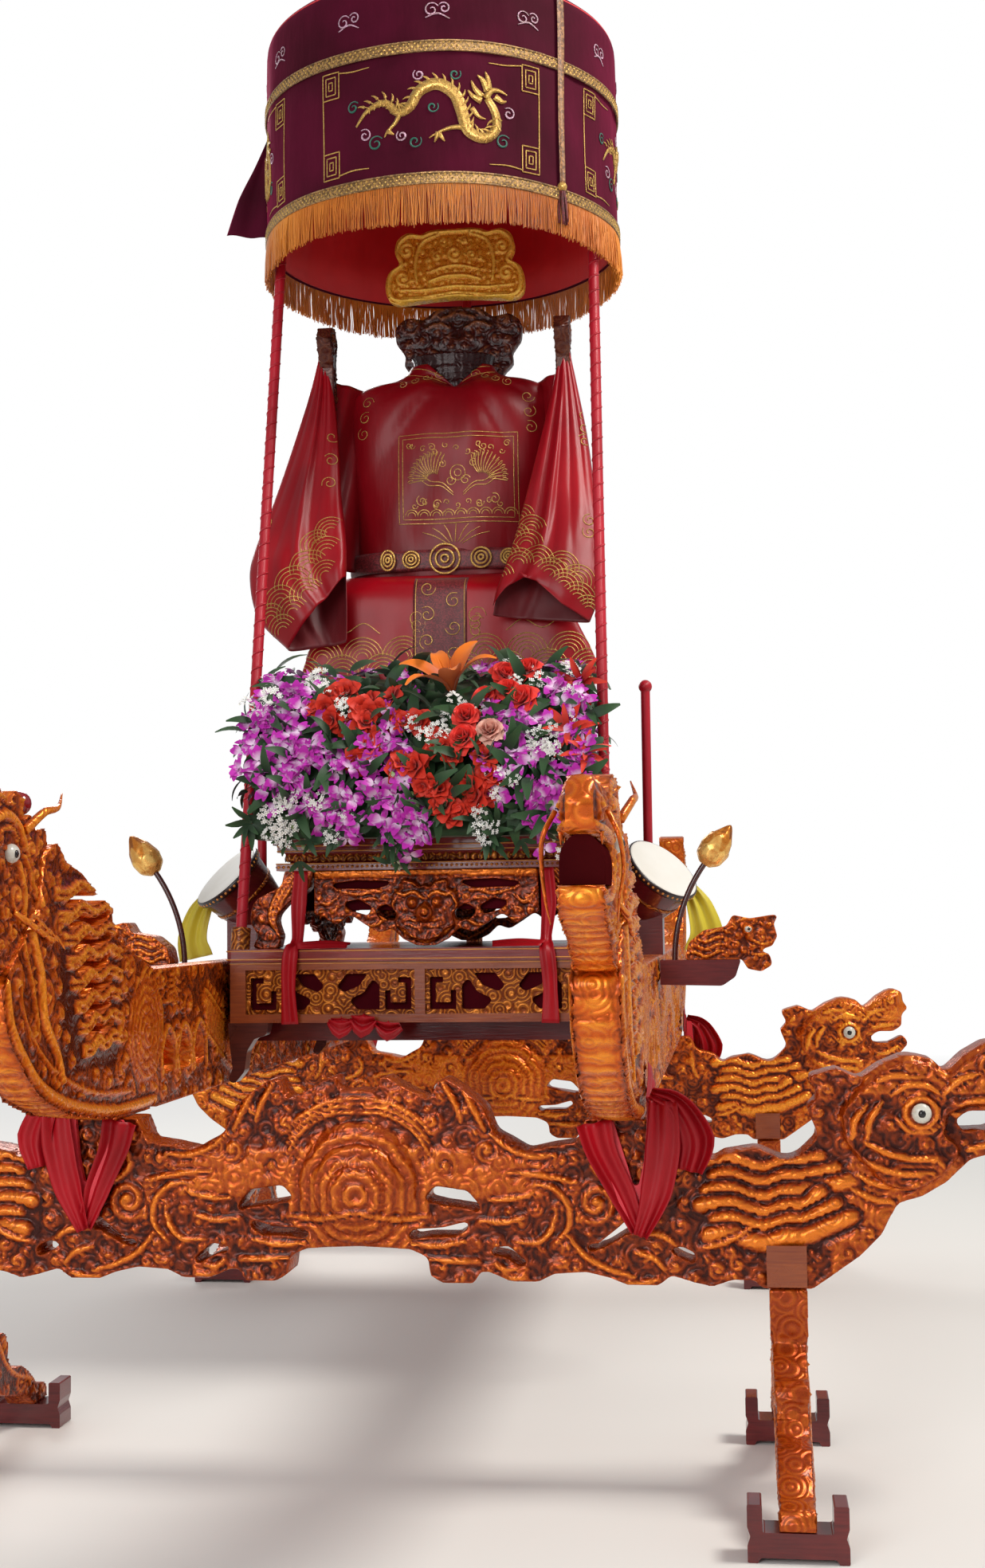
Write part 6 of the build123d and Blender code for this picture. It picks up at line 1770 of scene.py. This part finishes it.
def strip_cloth(name, points, widths, out, folds, deep, finish, rests_on, seed, held="draped",
        slot="red_wrap"):
    """A strip of cloth along a soft line, gathered in lengthwise folds; the pieces named and how it is held
    are not used.
    """
    line = smooth_line(points, 9.0)
    n, m = len(line), 4 * folds + 3
    share = np.linspace(0, 1, n)
    w = between(share, widths)
    across, face = line_frame(line, out, share)
    grid = []
    for k in range(n):
        row = []
        for q in range(m):
            a = 2 * q / (m - 1) - 1
            wave = 0.4 * sin(5 * a + 0.11 * k + 2 * seed)
            lift = deep * (0.6 * sin(a * pi * folds / 2 + seed + 0.02 * k) + wave)
            row.append(line[k] + across[k] * (a * w[k] / 2 + 2.5 * sin(0.13 * k + seed))
                + face[k] * (lift + deep))
        grid.append(row)
    length = float(np.linalg.norm(np.diff(line, axis=0), axis=1).sum()) / 1000
    return cloth(name, grid, finish, slot, (length, held, rests_on.split()), thick=1.0)


# Ties: across and up on a beam's face, and a step off it, for each strip; then widths and folds.
for sx, sn in SIDES:
    for sy, tn in ((-1, "front"), (1, "rear")):
        label = "_%s_%s" % (sn, tn)
        for seed, name, points, widths, folds, deep in ((1, "tie_loop_a", [(424, 8, 640), (436, 4, 590),
                (468, 0, 520), (494, 2, 452)], (62, 50, 44, 26), 4, 8),
                (2, "tie_loop_b", [(544, 8, 676), (540, 10, 600), (524, 9, 520), (496, 8, 446)],
                (48, 60, 54, 24), 4, 8), (3, "tie_tail", [(520, 4, 690), (562, 2, 668), (590, -2, 610),
                (580, 0, 556)], (22, 52, 72, 48), 5, 10)):
            strip_cloth(name + label, [(sx * x, sy * (1103.0 + off), z) for x, off, z in points], widths,
                (0, sy, 0), folds, deep, tie_red, "cross_dragon_" + tn, seed)
        strip_cloth("tie_wrap" + label, [(sx * 514, sy * 1099, 660), (sx * 516, sy * 1060, 690),
            (sx * 515, sy * 1010, 712), (sx * 514, sy * 985, 660)], (48, 40, 40, 46), (sx, 0, 0.2), 3, 3,
            tie_red, "dragon_beam_" + sn, 4)
for sx, sn in SIDES:
    x = sx * 276
    strip_cloth("front_strip_" + sn, [(x - sx * 6, -372, 1098), (x, -374, 1020), (x - sx * 4, -400, 944),
        (x, -434, 926), (x + sx * 4, -437, 860), (x + sx * 2, -437, 770)], (30, 34, 24, 34, 30, 38),
        ((0, -1, 0), (0, -1, 0), (0, -0.8, 0.5), (0, -0.9, 0.4), (0, -1, 0), (0, -1, 0)), 3, 3, tie_red,
        "tier_board table_top", 5 + sx)
    strip_cloth("board_strip_" + sn, [(x - sx * 10, -424, 934), (x - sx * 70, -410, 936),
        (x - sx * 120, -414, 934)], (34, 50, 36), (0, -0.3, 1), 3, 4, tie_red, "tier_board", 8 + sx)
for k, (x, z, w) in enumerate(((-168, 764, 50), (-120, 770, 60), (-66, 758, 44))):
    strip_cloth("tier_knot_%d" % k, [(x - 26, -436, z + 10), (x, -442, z - 4), (x + 28, -438, z + 6)],
        (14, w, 16), (0, -1, 0.2), 4, 8, tie_red, "tier_rails", 10 + k)
yellow_satin = cloth_finish("yellow_satin", (0.55, 0.42, 0.02), (0.74, 0.62, 0.06), 0.4, 1100, 0.15, 0.1,
    0.2, 0.4)
for sx, sn in SIDES:
    strip_cloth("yellow_cloth_" + sn, [(sx * 560, -40, 1062), (sx * 588, -52, 1010), (sx * 604, -50, 950),
        (sx * 596, -46, 905)], (26, 60, 78, 92), (sx * 0.3, -1, 0), 5, 6, yellow_satin, "hand_drums", 12,
        "hung")

# Loose ends of the canopy: a corner of the velvet that hangs out at its left, and a gold strap
# down the front right of the wall that ends in a dark tassel.
strip_cloth("canopy_flap", [(-424, -6, 2902), (-438, -12, 2820), (-454, -16, 2740), (-466, -20, 2652)],
    (6, 46, 88, 118), (0, -1, 0.1), 3, 6, velvet, "canopy_velvet", 4, "hung", "velvet")
strap_line = [drum_point(0.83, z, wall_radius(0.83, z) + 7) for z in (3120, 3020, 2920, 2820, 2720, 2640)]
strap_brown = cloth_finish("strap_brown", (0.1, 0.035, 0.016), (0.22, 0.1, 0.035), 0.4, 2000, 0.1,
    painted_glint_scale=220.0)
strip_cloth("canopy_strap", strap_line, (18, 18, 18, 17, 16, 15), (sin(0.83), -cos(0.83), 0), 1, 1.5,
    strap_brown, "canopy_velvet", 3, "hung", "velvet")
strap_end = strap_line[-1]
ball("strap_bead", tuple(strap_end + (0, 0, -6)), 11, gold_thread, "gold_cloth")
strands("strap_tassel", [([strap_end + np.array((r * cos(k + turn), r * sin(k + turn), z - drop * (k % 3)))
    for r, turn, z, drop in ((5, 0, -12, 0), (9, 0, -44, 0), (12, 0.2, -86, 5))], (4, 4, 3), 0.9,
    (0, -1, 0)) for k in range(16)], belt_dark, "velvet", 4)

# Poles: round wooden poles in red lacquer that carry the canopy, with red cloth wound round the
# two front ones, and red posts on the side bars.
wrap_red = cloth_finish("wrap_red", (0.36, 0.003, 0.012), (0.52, 0.008, 0.024), 0.35, 700, 0.05, 0.3, 0.1,
    0.4)
for pole_node in ("canopy_poles", "side_posts"):
    painted(nodes[pole_node].data, wrap_red)
rows = []
for sx in (-1, 1):
    foot, head = np.array((sx * 400.0, -396.0, 930.0)), np.array((sx * 373.6, -110.0, 2515.0))
    way = (head - foot) / np.linalg.norm(head - foot)
    u, v = round_axis(way, (1, 0, 0))
    turns_line = [foot + way * (60 + 12.0 * a / 6.283 * 3.1) + (u * cos(a) + v * sin(a)) * 12.6
        for a in np.arange(0, 6.283 * 44, 0.5)]
    rows.append((turns_line, (5, 5), 0.35, [(p - foot - way * ((p - foot) @ way)) / 12.6
        for p in turns_line]))
strands("pole_wraps", rows, wrap_red, "red_wrap", 4)
